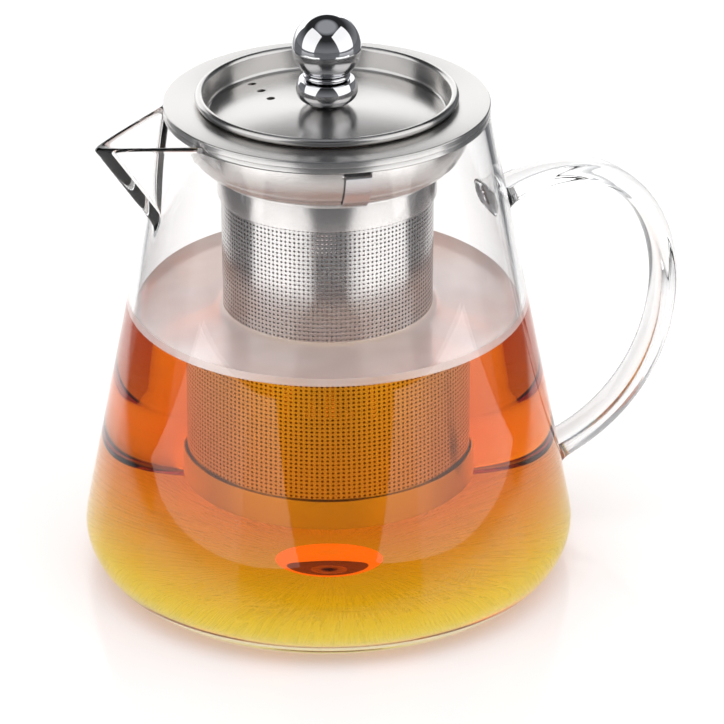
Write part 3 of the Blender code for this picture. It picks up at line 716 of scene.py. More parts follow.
def wet_inside(mesh, level):
    """Gives the wetted glass to the faces of the jug's inside below a level."""
    mesh.materials.append(stock_of("wetted_glass"))
    centre = np.empty((len(mesh.polygons), 3), np.float32)
    normal = np.empty_like(centre)
    mesh.polygons.foreach_get("center", centre.ravel())
    mesh.polygons.foreach_get("normal", normal.ravel())
    wall = (np.sum(centre[:, :2] * normal[:, :2], axis=1) < 0) & (normal[:, 2] > -STANDING)
    wet = (centre[:, 2] < level) & (wall | (normal[:, 2] > STANDING))
    mesh.polygons.foreach_set("material_index", wet.astype(np.int32))


def base_line(glass, end, height, depth):
    """(r, z) points of a base, from the axis over the rod's mark and on towards an end. The mark is a
    cosine dimple z = d (1 + cos(pi r / R)) / 2 of radius R."""
    mark = glass.dimple_radius
    radius = np.concatenate((np.linspace(0, mark, 17), np.linspace(mark, end, 9)[1:-1]))
    rise = depth * 0.5 * (1 + np.cos(np.pi * np.clip(radius / mark, 0, 1)))
    return np.column_stack((radius, height + rise))


def glass_jug_points(glass, tea_level):
    """The blown jug from the middle of its base up the outside, over the lip and down the inside. The lip
    is a half round of the wall's thickness. One ring of the inside lies at the tea's level."""
    form = JugForm(glass)
    angle = jug_angles()
    base = base_line(glass, form.corner[0], 0.0, glass.dimple_depth)
    corner = arc(form.corner, glass.corner, -90, math.degrees(form.tilt), 18)
    beak_start = form.beak_foot - glass.corner
    heights = np.concatenate(
        (
            np.linspace(corner[-1, 1], beak_start, 13)[1:],
            np.linspace(beak_start, form.height - glass.wall / 2, 67)[1:-1],
        )
    )
    lip_turn = np.radians(np.linspace(0, 180, 13))[:, None]
    lip = form.surface(
        angle,
        form.height - glass.wall / 2 * (1 - np.sin(lip_turn)),
        glass.wall / 2 * (1 - np.cos(lip_turn)),
    )
    inner = arc(form.inner_corner(glass.wall), glass.inner_corner, math.degrees(form.tilt), -90, 14)
    floor = base_line(glass, inner[-1, 0], glass.floor, glass.dimple_depth * MARK_INSIDE)[::-1]
    inner_heights = np.sort(np.concatenate((heights[1:], [inner[0, 1] + 0.5 * MM, tea_level])))[::-1]
    return np.concatenate(
        (
            rings(base, angle),
            rings(corner, angle),
            form.surface(angle, heights[:, None], 0.0),
            lip,
            form.surface(angle, inner_heights[:, None], glass.wall),
            rings(inner, angle),
            rings(floor, angle),
        )
    )


def superoval(steps, squareness):
    """A closed unit outline, |cos a|^s across and |sin a|^s out."""
    angle = np.linspace(0, 2 * np.pi, steps, endpoint=False)
    return (
        np.sign(np.cos(angle)) * np.abs(np.cos(angle)) ** squareness,
        np.sign(np.sin(angle)) * np.abs(np.sin(angle)) ** squareness,
    )


def handle_points(glass):
    """The drawn handle: a squarish oval carried along one cubic curve in the XZ plane and run into the wall,
    swelling by 1 + f exp(-d / l) at a distance d from the wall so that it flows onto the glass."""
    form = JugForm(glass)
    upper = form.height - glass.handle_top_drop
    lower = glass.handle_bottom
    start = np.array((form.wall(upper) + glass.weld_reach, upper))
    end = np.array((form.wall(lower) + glass.weld_reach, lower))
    pull_start = start + UPPER_PULL
    pull_end = end + LOWER_PULL
    t = np.linspace(0, 1, 181)[:, None]
    curve = (
        (1 - t) ** 3 * start
        + 3 * (1 - t) ** 2 * t * pull_start
        + 3 * (1 - t) * t**2 * pull_end
        + t**3 * end
    )
    into = np.linspace(glass.weld_reach + glass.wall / 2, 0.3 * MM, 14)[:, None]
    leave_start = (curve[0] - curve[1]) / np.linalg.norm(curve[0] - curve[1])
    leave_end = (curve[-1] - curve[-2]) / np.linalg.norm(curve[-1] - curve[-2])
    path = np.concatenate((curve[0] + leave_start * into, curve, curve[-1] + leave_end * into[::-1]))
    along = np.gradient(path, axis=0)
    along /= np.linalg.norm(along, axis=1)[:, None]
    distance = (path @ form.normal - form.level).clip(0)
    swell = 1 + glass.weld_flare * np.exp(-distance / glass.weld_fillet)
    across, out = superoval(48, 0.7)
    half_width = (glass.handle_width / 2 * swell)[:, None]
    half_thickness = (glass.handle_thickness / 2 * swell)[:, None]
    x = path[:, :1] - along[:, 1:] * out * half_thickness
    z = path[:, 1:] + along[:, :1] * out * half_thickness
    points = np.stack((x, across * half_width, z), axis=-1)
    caps = points[[0, -1]].mean(axis=1, keepdims=True) + 0 * points[[0, -1]]
    return np.concatenate((caps[:1], points, caps[1:]))


def tea_outline(glass, tea):
    """Section of the tea: it fills the jug to its level, bites a little into the glass, and climbs by
    h exp(-d / w) at a distance d from the glass and, half as high, from the basket."""
    form = JugForm(glass)
    depth = glass.wall - tea.bite
    corner = arc(form.inner_corner(depth), glass.inner_corner, -90, math.degrees(form.tilt), 16)
    corner[:, 1] -= tea.bite
    edge_height = tea.level + tea.climb
    side_heights = np.linspace(corner[-1, 1], edge_height, 30)[1:]
    side = np.column_stack((form.wall(side_heights, depth), side_heights))
    edge = side[-1, 0]
    basket = reach("basket_wall")
    radius = np.concatenate(
        (
            np.linspace(edge, edge - 4 * tea.climb_width, 28)[1:],
            np.linspace(edge - 4 * tea.climb_width, basket + 3 * MM, 16)[1:-1],
            np.linspace(basket + 3 * MM, basket - 3 * MM, 49),
            np.linspace(basket - 3 * MM, 0, 20)[1:],
        )
    )
    climb = tea.climb * np.exp(-(edge - radius) / tea.climb_width)
    climb += 0.5 * tea.climb * np.exp(-np.abs(radius - basket) / (0.6 * tea.climb_width))
    surface = np.column_stack((radius, tea.level + climb))
    floor = base_line(glass, corner[0, 0], glass.floor - tea.bite, glass.dimple_depth * MARK_INSIDE)
    return np.concatenate((floor, corner, side, surface))


# ---------------------------------------------------------------- infuser shapes


class CollarForm:
    """The collar's curve: a quarter ellipse from under the rim down to the hem round the basket."""

    def __init__(self, glass, infuser):
        self.infuser = infuser
        mouth = reach("infuser_rim") - glass.rim_overhang
        self.top_radius = mouth - glass.wall - infuser.collar_clearance
        self.top = top("infuser_collar")
        self.bend_top = self.top - infuser.sheet
        self.hem_bottom = bottom("infuser_collar")
        self.hem_inner = reach("basket_band") + BUILD_GAP
        self.hem_outer = self.hem_inner + infuser.sheet
        self.centre = self.hem_outer - infuser.collar_step

    def point(self, angle, depth=0.0):
        """(r, z) on the curve, at an angle below its top and a depth inside its outer surface."""
        radius = self.centre + (self.top_radius - self.centre - depth) * np.cos(angle)
        height = self.bend_top - (self.infuser.collar_height - depth) * np.sin(angle)
        return np.stack((radius, height), axis=-1)

    def outward(self, angle):
        """Unit normals of the curve, away from the basket."""
        normal = np.stack(
            (
                self.infuser.collar_height * np.cos(angle),
                -(self.top_radius - self.centre) * np.sin(angle),
            ),
            axis=-1,
        )
        return normal / np.linalg.norm(normal, axis=-1, keepdims=True)


def rim_outline(infuser):
    """The flat ring, its outer edge folded under with a fine line where the fold closes, and its inner
    edge turned down round the lid's plug."""
    outer = reach("infuser_rim")
    high = top("infuser_rim")
    low = bottom("infuser_rim")
    under = high - infuser.rim_sheet
    lip_inner = reach("lid_plate") - RIM_LIP_INSET
    lip_bottom = high - RIM_LIP_DEPTH
    edge_inner = outer - infuser.rim_edge
    seam = (high + low) / 2 - 0.05 * MM
    corners = [
        (lip_inner, lip_bottom),
        (lip_inner, high),
        (outer, high),
        (outer, seam + 0.10 * MM),
        (outer - 0.12 * MM, seam + 0.04 * MM),
        (outer - 0.12 * MM, seam - 0.04 * MM),
        (outer, seam - 0.10 * MM),
        (outer, low),
        (edge_inner, low),
        (edge_inner, under),
        (lip_inner + infuser.rim_sheet, under),
        (lip_inner + infuser.rim_sheet, lip_bottom),
    ]
    fillets = np.array([0.3, 0.6, 0.35, 0.04, 0.03, 0.03, 0.04, 0.35, 0.3, 0.2, 0.5, 0.3]) * MM
    return rounded(corners, fillets, 6)


def collar_outline(form):
    """Lip, curve and hem as one sheet. Three beads z -> h sin^2 are rolled into the curve above the hem."""
    infuser = form.infuser
    outer_end = math.acos((form.hem_outer - form.centre) / (form.top_radius - form.centre))
    inner_end = math.acos(
        (form.hem_inner - form.centre) / (form.top_radius - form.centre - infuser.sheet)
    )
    share = np.linspace(0, 1, 90)
    outer = form.point(outer_end * share)
    inner = form.point(inner_end * share, infuser.sheet)
    bead_share = np.clip((share - 0.55) / 0.40, 0, 1)
    swell = infuser.bead * np.sin(np.pi * 3 * bead_share) ** 2
    outer = outer + form.outward(outer_end * share) * swell[:, None]
    lip = [
        (form.top_radius - infuser.sheet, form.top),
        (form.top_radius + infuser.collar_lip, form.top),
        (form.top_radius + infuser.collar_lip, form.bend_top),
    ]
    hem = [(form.hem_outer, form.hem_bottom), (form.hem_inner, form.hem_bottom)]
    corners = np.concatenate((lip, outer, hem, inner[::-1]))
    return rounded(corners, 0.15 * MM, 2)


def clip_frame(infuser, index):
    """Outward and sideways directions of one clip, as arrays."""
    heading = infuser.clip_heading + 2 * np.pi * index / infuser.clip_count
    outward = np.array((math.cos(heading), math.sin(heading), 0.0))
    return outward, np.array((-outward[1], outward[0], 0.0))


def leaf_line(form):
    """Middle line of a spring leaf in (r, z): it runs up the collar's curve with a gap that opens towards
    the top, then turns inwards as a hook with a rounded bend."""
    infuser = form.infuser
    share = np.linspace(0, 1, 24)
    angle = infuser.clip_root + (infuser.clip_end - infuser.clip_root) * share
    gap = BUILD_GAP + (infuser.clip_gap - BUILD_GAP) * share + infuser.sheet / 2
    leaf = form.point(angle) + form.outward(angle) * gap[:, None]
    last = leaf[-1]
    bend = 0.7 * MM
    hook_height = form.point(infuser.clip_end)[1] + infuser.sheet / 2
    hook_height += form.outward(infuser.clip_end)[1] * infuser.clip_gap
    t = np.linspace(0, 1, 9)[1:, None]
    corner = np.array((last[0], hook_height))
    after = corner - (bend, 0)
    turn_in = (1 - t) ** 2 * last + 2 * t * (1 - t) * corner + t**2 * after
    inner = np.array((form.point(infuser.clip_end)[0] - infuser.clip_hook + infuser.clip_gap, hook_height))
    hook = after + (inner - after) * np.linspace(0, 1, 6)[1:, None]
    return np.concatenate((leaf, turn_in, hook)), hook_height


def clip_mesh(name, form, index):
    """One spring leaf: its middle line carried across its width, given its thickness and soft edges."""
    infuser = form.infuser
    line, _ = leaf_line(form)
    outward, sideways = clip_frame(infuser, index)
    tangent = np.gradient(line, axis=0)
    tangent /= np.linalg.norm(tangent, axis=1)[:, None]
    normal = np.stack((tangent[:, 1], -tangent[:, 0]), axis=-1) * infuser.sheet / 2
    loop = rounded(np.concatenate((line + normal, (line - normal)[::-1])), 0.12 * MM, 2)
    place = loop[:, :1] * outward + loop[:, 1:] * np.array((0, 0, 1.0))
    middle = np.repeat(np.concatenate((line, line[::-1])), 3, axis=0)
    middle = middle[:, :1] * outward + middle[:, 1:] * np.array((0, 0, 1.0))
    inset = np.array([0.12, 0.04] + [0] * 9 + [0.04, 0.12]) * MM / (infuser.sheet / 2)
    across = np.concatenate(([-0.5, -0.494], np.linspace(-0.5, 0.5, 9), [0.494, 0.5]))
    across *= infuser.clip_width
    rows = [place + (middle - place) * shrink + sideways * w for shrink, w in zip(inset, across)]
    rows = [middle + sideways * across[0], *rows, middle + sideways * across[-1]]
    return skin_mesh(name, np.array(rows))


def slot_mesh(form, index):
    """The window in the collar that a clip's hook passes through, as a block to cut away."""
    infuser = form.infuser
    _, hook_height = leaf_line(form)
    outward, sideways = clip_frame(infuser, index)
    half = np.array(
        (infuser.clip_hook + infuser.slot_margin, infuser.clip_width / 2 + infuser.slot_margin, 0)
    )
    corners = np.array([(o, s) for o in (-1, 1) for s in (-1, 1)], float)
    rows = []
    for up in (-1, 1):
        ring = [
            outward * (form.top_radius + o * half[0])
            + sideways * s * half[1]
            + np.array((0, 0, hook_height + up * infuser.slot_height / 2))
            for o, s in corners[[0, 1, 3, 2]]
        ]
        rows.append(ring)
    rows = np.array(rows)
    caps = rows.mean(axis=1, keepdims=True) + 0 * rows
    return skin_mesh("slot", np.concatenate((caps[:1], rows, caps[1:])))


def cell_corners(corner):
    """The four corners of each cell in a grid of vertex numbers, in turn round the cell."""
    return np.stack((corner[:-1, :-1], corner[1:, :-1], corner[1:, 1:], corner[:-1, 1:]), axis=-1)


def stitched(loop, total):
    """Quads from closed loops of one skin to the same loops of the other skin, total numbers further on."""
    after = np.roll(loop, -1, axis=-1)
    return np.stack((loop, after, after + total, loop + total), axis=-1).reshape(-1, 4)


def perforated_cells(across, up, hole_across, hole_up, punched):
    """Vertices and faces of a punched sheet in its own plane, as (u, v) with faces of one skin.

    across and up are the cells' borders. Each punched cell has an octagonal hole: four quads and four
    triangles lie between the cell's corners and the hole. A cell that isn't punched is one quad."""
    u, v = np.meshgrid(across, up, indexing="ij")
    corner = np.arange(u.size).reshape(u.shape)
    cells = cell_corners(corner)
    middle_u = (u[:-1, :-1] + u[1:, :-1])[punched] / 2
    middle_v = (v[:-1, :-1] + v[:-1, 1:])[punched] / 2
    angle = np.radians(-112.5 + 45 * np.arange(8))
    hole_u = middle_u[:, None] + hole_across / 2 * np.cos(angle)
    hole_v = middle_v[:, None] + hole_up / 2 * np.sin(angle)
    hole = u.size + np.arange(hole_u.size).reshape(hole_u.shape)
    vertices = np.concatenate(
        (np.column_stack((u.ravel(), v.ravel())), np.column_stack((hole_u.ravel(), hole_v.ravel())))
    )
    four = cells[punched]
    quads = []
    triangles = []
    for side in range(4):
        following = (side + 1) % 4
        first, second, third = 2 * side, 2 * side + 1, 2 * following
        quads.append(np.column_stack((four[:, side], four[:, following], hole[:, second], hole[:, first])))
        triangles.append(np.column_stack((four[:, following], hole[:, third], hole[:, second])))
    quads.append(cells[~punched])
    return vertices, np.concatenate(quads), np.concatenate(triangles), hole, corner


def wall_sector_mesh(name, infuser, index, count):
    """One sector of the perforated wall: the punched sheet rolled to a cylinder, x = r cos(u / r), with an
    inner and an outer skin joined through every hole and along its edges."""
    outer = reach("basket_wall")
    low, high = bottom("basket_wall"), top("basket_wall")
    middle = outer - infuser.sheet / 2
    columns = int(round(2 * np.pi * middle / infuser.hole_pitch / count))
    punched_height = high - low - 2 * infuser.plain_edge
    rows = int(punched_height / infuser.hole_pitch)
    start = 2 * np.pi * index / count
    across = start + np.linspace(0, 2 * np.pi / count, columns + 1)
    spare = (high - low - rows * infuser.hole_pitch) / 2
    up = np.concatenate(([low], low + spare + infuser.hole_pitch * np.arange(rows + 1), [high]))
    punched = np.zeros((columns, rows + 2), bool)
    punched[:, 1:-1] = True
    hole_turn = infuser.hole_diameter / middle
    flat, quads, triangles, hole, corner = perforated_cells(
        across, up, hole_turn, infuser.hole_diameter, punched
    )
    total = len(flat)

    def rolled(radius):
        return np.column_stack((radius * np.cos(flat[:, 0]), radius * np.sin(flat[:, 0]), flat[:, 1]))

    vertices = np.concatenate((rolled(outer), rolled(outer - infuser.sheet)))
    edge = np.concatenate((corner[:, 0], corner[-1, 1:], corner[::-1, -1][1:], corner[0, ::-1][1:-1]))
    sides = [stitched(hole, total), stitched(edge, total)]
    mesh = write_mesh(name, vertices, [quads, quads + total, *sides, triangles, triangles + total])
    close_up(mesh)
    smooth(mesh, CREASE_DEGREES)
    return mesh


def floor_mesh(name, infuser):
    """The perforated floor: a square lattice of cells whose outer corners are drawn in onto a circle."""
    radius = reach("basket_floor")
    low, high = bottom("basket_floor"), top("basket_floor")
    pitch = infuser.hole_pitch
    half = int(radius / pitch) + 1
    lines = pitch * np.arange(-half, half + 1)
    u, v = np.meshgrid(lines, lines, indexing="ij")
    inside = np.hypot(u, v) < radius - 0.2 * pitch
    kept = cell_corners(inside).any(axis=-1)
    clear = np.hypot(u, v) < radius - infuser.plain_edge
    punched = cell_corners(clear).all(axis=-1)
    flat, quads, triangles, hole, corner = perforated_cells(
        lines, lines, infuser.hole_diameter, infuser.hole_diameter, punched
    )
    plain = cell_corners(corner)
    quads = np.concatenate((quads[: 4 * punched.sum()], plain[kept & ~punched]))
    size = np.hypot(flat[:, 0], flat[:, 1])
    shrink = np.minimum(1, radius / np.maximum(size, 1e-9))
    flat = flat * shrink[:, None]
    total = len(flat)
    used = np.pad(kept, 1)
    sides = []
    for di, dj, first, second in ((0, -1, 0, 1), (1, 0, 1, 2), (0, 1, 2, 3), (-1, 0, 3, 0)):
        neighbour = used[1 + di : used.shape[0] - 1 + di, 1 + dj : used.shape[1] - 1 + dj]
        ends = plain[kept & ~neighbour][:, [first, second]]
        sides.append(np.column_stack((ends[:, 0], ends[:, 1], ends[:, 1] + total, ends[:, 0] + total)))
    sides.insert(0, stitched(hole, total))
    vertices = np.concatenate(
        (np.column_stack((flat, np.full(total, high))), np.column_stack((flat, np.full(total, low))))
    )
    mesh = write_mesh(name, vertices, [quads, quads + total, *sides, triangles, triangles + total])
    close_up(mesh)
    bm = bmesh.new()
    bm.from_mesh(mesh)
    bmesh.ops.delete(bm, geom=[vert for vert in bm.verts if not vert.link_faces], context="VERTS")
    bm.to_mesh(mesh)
    bm.free()
    smooth(mesh, CREASE_DEGREES)
    return mesh


def band_outline(infuser):
    """The plain band, with softened edges."""
    outer = reach("basket_band")
    inner = outer - infuser.sheet
    low, high = bottom("basket_band"), top("basket_band")
    return rounded([(inner, low), (outer, low), (outer, high), (inner, high)], 0.12 * MM)


def cup_outline(infuser):
    """The bottom cup: a plain wall whose lower edge is turned in under the floor through a round bend."""
    outer = reach("basket_cup")
    low, high = bottom("basket_cup"), top("basket_cup")
    sheet = infuser.sheet
    lip = outer - CUP_LIP
    corners = [
        (lip, low),
        (outer - 0.1 * MM, low),
        (outer, low + 0.1 * MM),
        (outer, high),
        (outer - sheet, high),
        (outer - sheet, low + sheet),
        (lip, low + sheet),
    ]
    fillets = np.array([0.12, 0.45, 0.45, 0.12, 0.12, 0.1, 0.12]) * MM
    return rounded(corners, fillets)


# ---------------------------------------------------------------- lid shapes


def lid_outline(lid):
    """One pressing: a parabolic dome, a rounded gutter, a steep wall and the edge rolled into a bead."""
    outer = reach("lid_plate")
    bead_top = top("lid_plate")
    bead_centre = np.array((outer - lid.bead, bead_top - lid.bead))
    gutter = bead_top - lid.depth
    wall_foot = outer - 2 * lid.bead - lid.wall_taper
    dome_edge = wall_foot - lid.gutter
    radius = np.linspace(lid.bore, dome_edge, 60)
    dome = np.column_stack((radius, gutter + lid.dome_rise * (1 - (radius / dome_edge) ** 2)))
    t = np.linspace(0, 1, 13)[1:, None]
    corner = np.array((wall_foot - 0.1 * MM, gutter - 0.15 * MM))
    wall_start = np.array((wall_foot, gutter + lid.gutter))
    bend = (1 - t) ** 2 * dome[-1] + 2 * t * (1 - t) * corner + t**2 * wall_start
    bead = arc(bead_centre, lid.bead, 178, -118, 40)
    under_wall = [
        (wall_foot + lid.sheet + 0.25 * lid.wall_taper, bead_centre[1] - 1.6 * MM),
        (wall_foot + lid.sheet, gutter + 0.5 * lid.gutter),
    ]
    under_bend = [(wall_foot + 0.1 * MM, gutter - 0.75 * lid.sheet), (dome_edge, gutter - lid.sheet)]
    under = dome[::-1][1:] - (0, lid.sheet)
    return np.concatenate((dome, bend, bead, under_wall, under_bend, under))


def vent_mesh(lid, index):
    """A drill through the lid at one vent, flared at the top by the punch's soft edge."""
    outermost = reach("lid_plate") - 2 * lid.bead - lid.wall_taper - lid.gutter - lid.vent_margin
    x = outermost * math.cos(lid.vent_heading)
    y = outermost * math.sin(lid.vent_heading) - lid.vent_pitch * index
    gutter = top("lid_plate") - lid.depth
    angle = np.linspace(0, 2 * np.pi, 40, endpoint=False)
    height = np.array((gutter - 2 * MM, gutter - 2 * MM, gutter + 6 * MM, gutter + 6 * MM))[:, None]
    radius = np.array((0, lid.vent_radius, lid.vent_radius, 0))[:, None]
    points = np.stack((x + radius * np.cos(angle), y + radius * np.sin(angle), height + 0 * angle), axis=-1)
    return skin_mesh("vent", points)


def knob_foot_outline(lid):
    """The knob's foot: two quarter ovals meet at its widest place."""
    seat, high = bottom("knob_foot"), top("knob_foot")
    widest = reach("knob_foot")
    low_turn = math.acos(1 - lid.foot_undercut / widest)
    high_turn = math.acos(1 - lid.foot_shoulder / widest)
    centre = (0.0, seat + lid.foot_waist)
    flat_low = lid.foot_waist / (widest * math.sin(low_turn))
    flat_high = (high - seat - lid.foot_waist) / (widest * math.sin(high_turn))
    lower = arc(centre, widest, -math.degrees(low_turn), 0, 36, flat_low)
    upper = arc(centre, widest, 0, math.degrees(high_turn), 30, flat_high)[1:]
    core = lid.bore
    return rounded(np.concatenate(([(core, seat)], lower, upper, [(core, high)])), 0.25 * MM, 3)


def knob_neck_outline(lid):
    """The neck ring, half round outside."""
    low, high = bottom("knob_neck"), top("knob_neck")
    half = (high - low) / 2
    ring = arc((reach("knob_neck") - half, low + half), half, -90, 90, 24)
    return np.concatenate(([(lid.bore, low)], ring, [(lid.bore, high)]))


def knob_ball_outline(lid):
    """The ball, with the flat it sits on and the blind bore for its screw."""
    seat, high = bottom("knob_ball"), top("knob_ball")
    radius = reach("knob_ball")
    centre = high - radius
    seat_angle = math.degrees(math.acos(lid.ball_seat / radius))
    bore_top = top("knob_screw") + 0.6 * MM
    ball = arc((0.0, centre), radius, -seat_angle, 90, 90)
    bore = [(0.0, bore_top), (lid.bore, bore_top), (lid.bore, seat), (lid.ball_seat - 0.2 * MM, seat)]
    return np.concatenate((bore, ball))


def screw_outline():
    """A pan-head screw with a plain shank."""
    low, high = bottom("knob_screw"), top("knob_screw")
    head = reach("knob_screw")
    seat = bottom("knob_washer") - BUILD_GAP
    shank = SHANK_RADIUS
    corners = [
        (0.0, low + 0.5 * MM),
        (0.9 * MM, low + 0.5 * MM),
        (1.1 * MM, low),
        (head - 1.0 * MM, low),
        (head, low + 1.0 * MM),
        (head, seat),
        (shank, seat),
        (shank, high - 0.4 * MM),
        (shank - 0.4 * MM, high),
        (0.0, high),
    ]
    inner = rounded(corners, 0.12 * MM, 4)
    inner[:, 0] = np.maximum(inner[:, 0], 0)
    return np.concatenate(([corners[0]], inner[5:-5], [corners[-1]]))


def washer_outline():
    """A flat washer with rounded edges."""
    low, high = bottom("knob_washer"), top("knob_washer")
    outer = reach("knob_washer")
    return rounded(
        [(WASHER_BORE, low), (outer, low), (outer, high), (WASHER_BORE, high)], 0.15 * MM
    )


# ---------------------------------------------------------------- operators


class TEAPOT_OT_glass_jug(bpy.types.Operator):
    """Blow the jug: base, corner, cone wall, beak and fire-rounded lip."""

    bl_idname = "teapot.glass_jug"
    bl_label = "Glass Jug"

    def execute(self, context):
        scene = context.scene
        mesh = skin_mesh("glass_jug", glass_jug_points(scene.teapot_glass, scene.teapot_tea.level))
        mesh.shade_smooth()
        add_piece(
            "glass_jug", mesh, stock_of("borosilicate_glass"), "jug", ["jug_body"]
        )
        wet_inside(mesh, scene.teapot_tea.level)
        return {"FINISHED"}


class TEAPOT_OT_glass_handle(bpy.types.Operator):
    """Draw the handle and flare its ends onto the wall."""

    bl_idname = "teapot.glass_handle"
    bl_label = "Glass Handle"

    def execute(self, context):
        mesh = skin_mesh("glass_handle", handle_points(context.scene.teapot_glass))
        mesh.shade_smooth()
        add_piece(
            "glass_handle", mesh, stock_of("drawn_glass"), "jug", ["handle"]
        )
        return {"FINISHED"}


class TEAPOT_OT_brewed_tea(bpy.types.Operator):
    """Fill the jug with brewed tea up to its level."""

    bl_idname = "teapot.brewed_tea"
    bl_label = "Brewed Tea"

    def execute(self, context):
        scene = context.scene
        outline = tea_outline(scene.teapot_glass, scene.teapot_tea)
        mesh = turned_mesh("brewed_tea", outline, TEA_ROUND, open_ended=True)
        mesh.shade_smooth()
        add_piece("brewed_tea", mesh, brewed_tea_liquid(scene.teapot_tea), "jug")
        return {"FINISHED"}


class TEAPOT_OT_infuser_rim(bpy.types.Operator):
    """Press the infuser's flat rim with its folded edge."""

    bl_idname = "teapot.infuser_rim"
    bl_label = "Infuser Rim"

    def execute(self, context):
        mesh = turned_mesh("rim_ring", rim_outline(context.scene.teapot_infuser))
        add_piece(
            "rim_ring", mesh, stock_of("spun_stainless"), "infuser", ["infuser_rim"]
        )
        return {"FINISHED"}


class TEAPOT_OT_infuser_collar(bpy.types.Operator):
    """Spin the infuser's collar and punch the slots for its clips."""

    bl_idname = "teapot.infuser_collar"
    bl_label = "Infuser Collar"

    def execute(self, context):
        scene = context.scene
        form = CollarForm(scene.teapot_glass, scene.teapot_infuser)
        mesh = turned_mesh("collar_bowl", collar_outline(form))
        slots = [slot_mesh(form, index) for index in range(scene.teapot_infuser.clip_count)]
        mesh = cut(mesh, slots)
        add_piece(
            "collar_bowl", mesh, stock_of("spun_stainless"), "infuser", ["infuser_collar"]
        )
        return {"FINISHED"}


class TEAPOT_OT_spring_clips(bpy.types.Operator):
    """Bend the spring leaves that grip the inside of the mouth."""

    bl_idname = "teapot.spring_clips"
    bl_label = "Spring Clips"

    def execute(self, context):
        scene = context.scene
        form = CollarForm(scene.teapot_glass, scene.teapot_infuser)
        for index in range(scene.teapot_infuser.clip_count):
            number = index + 1
            mesh = clip_mesh(f"clip_leaf_{number}", form, index)
            add_piece(
                f"clip_leaf_{number}",
                mesh,
                stock_of("rolled_stainless"),
                f"clip_{number}",
                [f"spring_clip_{number}"],
            )
        return {"FINISHED"}


class TEAPOT_OT_basket_shell(bpy.types.Operator):
    """Make the basket's plain band and its bottom cup."""

    bl_idname = "teapot.basket_shell"
    bl_label = "Basket Band and Cup"

    def execute(self, context):
        infuser = context.scene.teapot_infuser
        for name, node_name, outline in (
            ("band_ring", "basket_band", band_outline(infuser)),
            ("bottom_cup", "basket_cup", cup_outline(infuser)),
        ):
            add_piece(
                name,
                turned_mesh(name, outline),
                stock_of("satin_sheet_stainless"),
                "infuser",
                [node_name],
            )
        return {"FINISHED"}


class TEAPOT_OT_perforated_wall(bpy.types.Operator):
    """Punch and roll the basket's wall, in three sectors."""

    bl_idname = "teapot.perforated_wall"
    bl_label = "Perforated Wall"

    def execute(self, context):
        infuser = context.scene.teapot_infuser
        sectors = 3
        for index in range(sectors):
            name = f"perforated_wall_{index + 1}"
            mesh = wall_sector_mesh(name, infuser, index, sectors)
            add_piece(
                name,
                mesh,
                stock_of("satin_sheet_stainless"),
                "infuser",
                ["basket_wall"],
            )
        return {"FINISHED"}


class TEAPOT_OT_perforated_floor(bpy.types.Operator):
    """Punch the basket's floor."""

    bl_idname = "teapot.perforated_floor"
    bl_label = "Perforated Floor"

    def execute(self, context):
        mesh = floor_mesh("perforated_floor", context.scene.teapot_infuser)
        add_piece(
            "perforated_floor",
            mesh,
            stock_of("satin_sheet_stainless"),
            "infuser",
            ["basket_floor"],
        )
        return {"FINISHED"}


class TEAPOT_OT_lid_plate(bpy.types.Operator):
    """Press the lid, roll its edge and punch its vents."""

    bl_idname = "teapot.lid_plate"
    bl_label = "Lid"

    def execute(self, context):
        lid = context.scene.teapot_lid
        mesh = turned_mesh("lid_dome", lid_outline(lid))
        mesh = cut(mesh, [vent_mesh(lid, index) for index in range(3)])
        add_piece("lid_dome", mesh, stock_of("spun_stainless"), "lid", ["lid_plate"])
        return {"FINISHED"}


class TEAPOT_OT_knob(bpy.types.Operator):
    """Turn the knob's foot, neck ring and ball."""

    bl_idname = "teapot.knob"
    bl_label = "Knob"

    def execute(self, context):
        lid = context.scene.teapot_lid
        for name, node_name, outline, on_axis in (
            ("turned_foot", "knob_foot", knob_foot_outline(lid), False),
            ("turned_neck", "knob_neck", knob_neck_outline(lid), False),
            ("turned_ball", "knob_ball", knob_ball_outline(lid), True),
        ):
            mesh = turned_mesh(name, outline, KNOB_ROUND, open_ended=on_axis)
            add_piece(name, mesh, stock_of("mirror_stainless"), "lid", [node_name])
        return {"FINISHED"}


class TEAPOT_OT_knob_fixings(bpy.types.Operator):
    """Make the screw and washer that hold the knob."""

    bl_idname = "teapot.knob_fixings"
    bl_label = "Knob Screw and Washer"

    def execute(self, context):
        for name, node_name, outline, on_axis in (
            ("pan_screw", "knob_screw", screw_outline(), True),
            ("flat_washer", "knob_washer", washer_outline(), False),
        ):
            mesh = turned_mesh(name, outline, FIXING_ROUND, open_ended=on_axis)
            add_piece(name, mesh, stock_of("rolled_stainless"), "lid", [node_name])
        return {"FINISHED"}


def sphere_point(azimuth, elevation, distance, height):
    """A place round the jug's axis. Azimuth 0 is in front, at -Y, and it grows towards +X."""
    flat = math.cos(elevation) * distance
    return Vector(
        (flat * math.sin(azimuth), -flat * math.cos(azimuth), height + math.sin(elevation) * distance)
    )


def add_softbox(name, azimuth, elevation, distance, size, watts, aim_height, mirrored):
    """A rectangular softbox that faces a height on the jug's axis. Angles are in degrees."""
    lamp = bpy.data.lights.new(name, "AREA")
    lamp.shape = "RECTANGLE"
    lamp.size, lamp.size_y = size
    lamp.energy = watts
    made = bpy.data.objects.new(name, lamp)
    bpy.context.scene.collection.objects.link(made)
    place = sphere_point(math.radians(azimuth), math.radians(elevation), distance, aim_height)
    made.location = place
    made.rotation_euler = (Vector((0, 0, aim_height)) - place).to_track_quat("-Z", "Y").to_euler()
    made.visible_camera = False
    made.visible_glossy = mirrored
    made.visible_transmission = mirrored


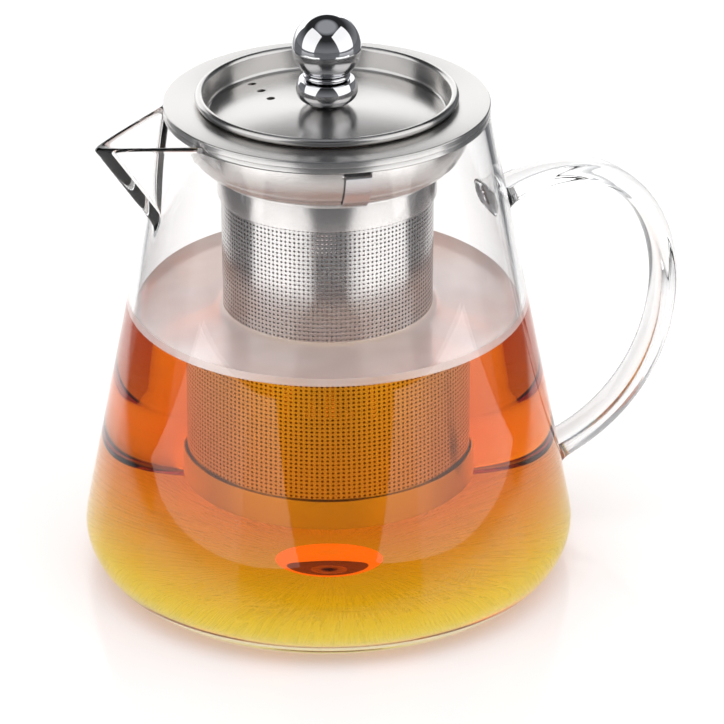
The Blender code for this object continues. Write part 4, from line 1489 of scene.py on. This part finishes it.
class TEAPOT_OT_studio(bpy.types.Operator):
    """Set up the floor, the softboxes and the camera."""

    bl_idname = "teapot.studio"
    bl_label = "Studio"

    def execute(self, context):
        scene = context.scene
        stage = scene.teapot_stage
        corners = [(x * FLOOR_HALF, y * FLOOR_HALF, 0) for x, y in ((-1, -1), (1, -1), (1, 1), (-1, 1))]
        floor = write_mesh("studio_floor", np.array(corners), [np.array([(0, 1, 2, 3)])])
        floor.materials.append(studio_floor(stage))
        ground = bpy.data.objects.new("studio_floor", floor)
        scene.collection.objects.link(ground)

        scene.world = studio_room()

        view = math.degrees(stage.azimuth)
        for name, turned, *rest in SOFTBOXES:
            add_softbox(name, view + turned, *rest)

        lens = bpy.data.cameras.new("studio_camera")
        lens.lens = stage.lens
        lens.sensor_width = 36.0
        lens.clip_start = 0.05
        lens.clip_end = 20.0
        camera = bpy.data.objects.new("studio_camera", lens)
        scene.collection.objects.link(camera)
        place = sphere_point(stage.azimuth, stage.elevation, stage.distance, stage.aim_height)
        ahead = (Vector((0, 0, stage.aim_height)) - place).normalized()
        right = ahead.cross(Vector((0, 0, 1))).normalized()
        down = ahead.cross(right).normalized()
        aim = Vector((0, 0, stage.aim_height)) + right * stage.aim_right + down * stage.aim_down
        camera.location = place
        camera.rotation_euler = (aim - place).to_track_quat("-Z", "Y").to_euler()
        scene.camera = camera
        scene.view_settings.view_transform = "Standard"
        return {"FINISHED"}


OPERATORS = (
    TEAPOT_OT_studio,
    TEAPOT_OT_glass_jug,
    TEAPOT_OT_glass_handle,
    TEAPOT_OT_brewed_tea,
    TEAPOT_OT_infuser_rim,
    TEAPOT_OT_infuser_collar,
    TEAPOT_OT_spring_clips,
    TEAPOT_OT_basket_shell,
    TEAPOT_OT_perforated_wall,
    TEAPOT_OT_perforated_floor,
    TEAPOT_OT_lid_plate,
    TEAPOT_OT_knob,
    TEAPOT_OT_knob_fixings,
)


class TEAPOT_PT_pieces(bpy.types.Panel):
    """Lists the teapot's pieces and their sizes."""

    bl_idname = "TEAPOT_PT_pieces"
    bl_label = "Glass Teapot"
    bl_space_type = "VIEW_3D"
    bl_region_type = "UI"
    bl_category = "Teapot"

    def draw(self, context):
        layout = self.layout
        for operator in OPERATORS:
            layout.operator(operator.bl_idname)
        for key, group in GROUPS.items():
            box = layout.box()
            box.label(text=group.__doc__)
            for setting in group.__annotations__:
                box.prop(getattr(context.scene, key), setting)


def register():
    for kind in (*GROUPS.values(), *OPERATORS, TEAPOT_PT_pieces):
        bpy.utils.register_class(kind)
    for key, group in GROUPS.items():
        setattr(bpy.types.Scene, key, PointerProperty(type=group))


def unregister():
    for key in GROUPS:
        delattr(bpy.types.Scene, key)
    for kind in reversed((*GROUPS.values(), *OPERATORS, TEAPOT_PT_pieces)):
        bpy.utils.unregister_class(kind)


def main():
    register()
    for operator in OPERATORS:
        group, name = operator.bl_idname.split(".")
        getattr(getattr(bpy.ops, group), name)()


if __name__ == "__main__":
    main()
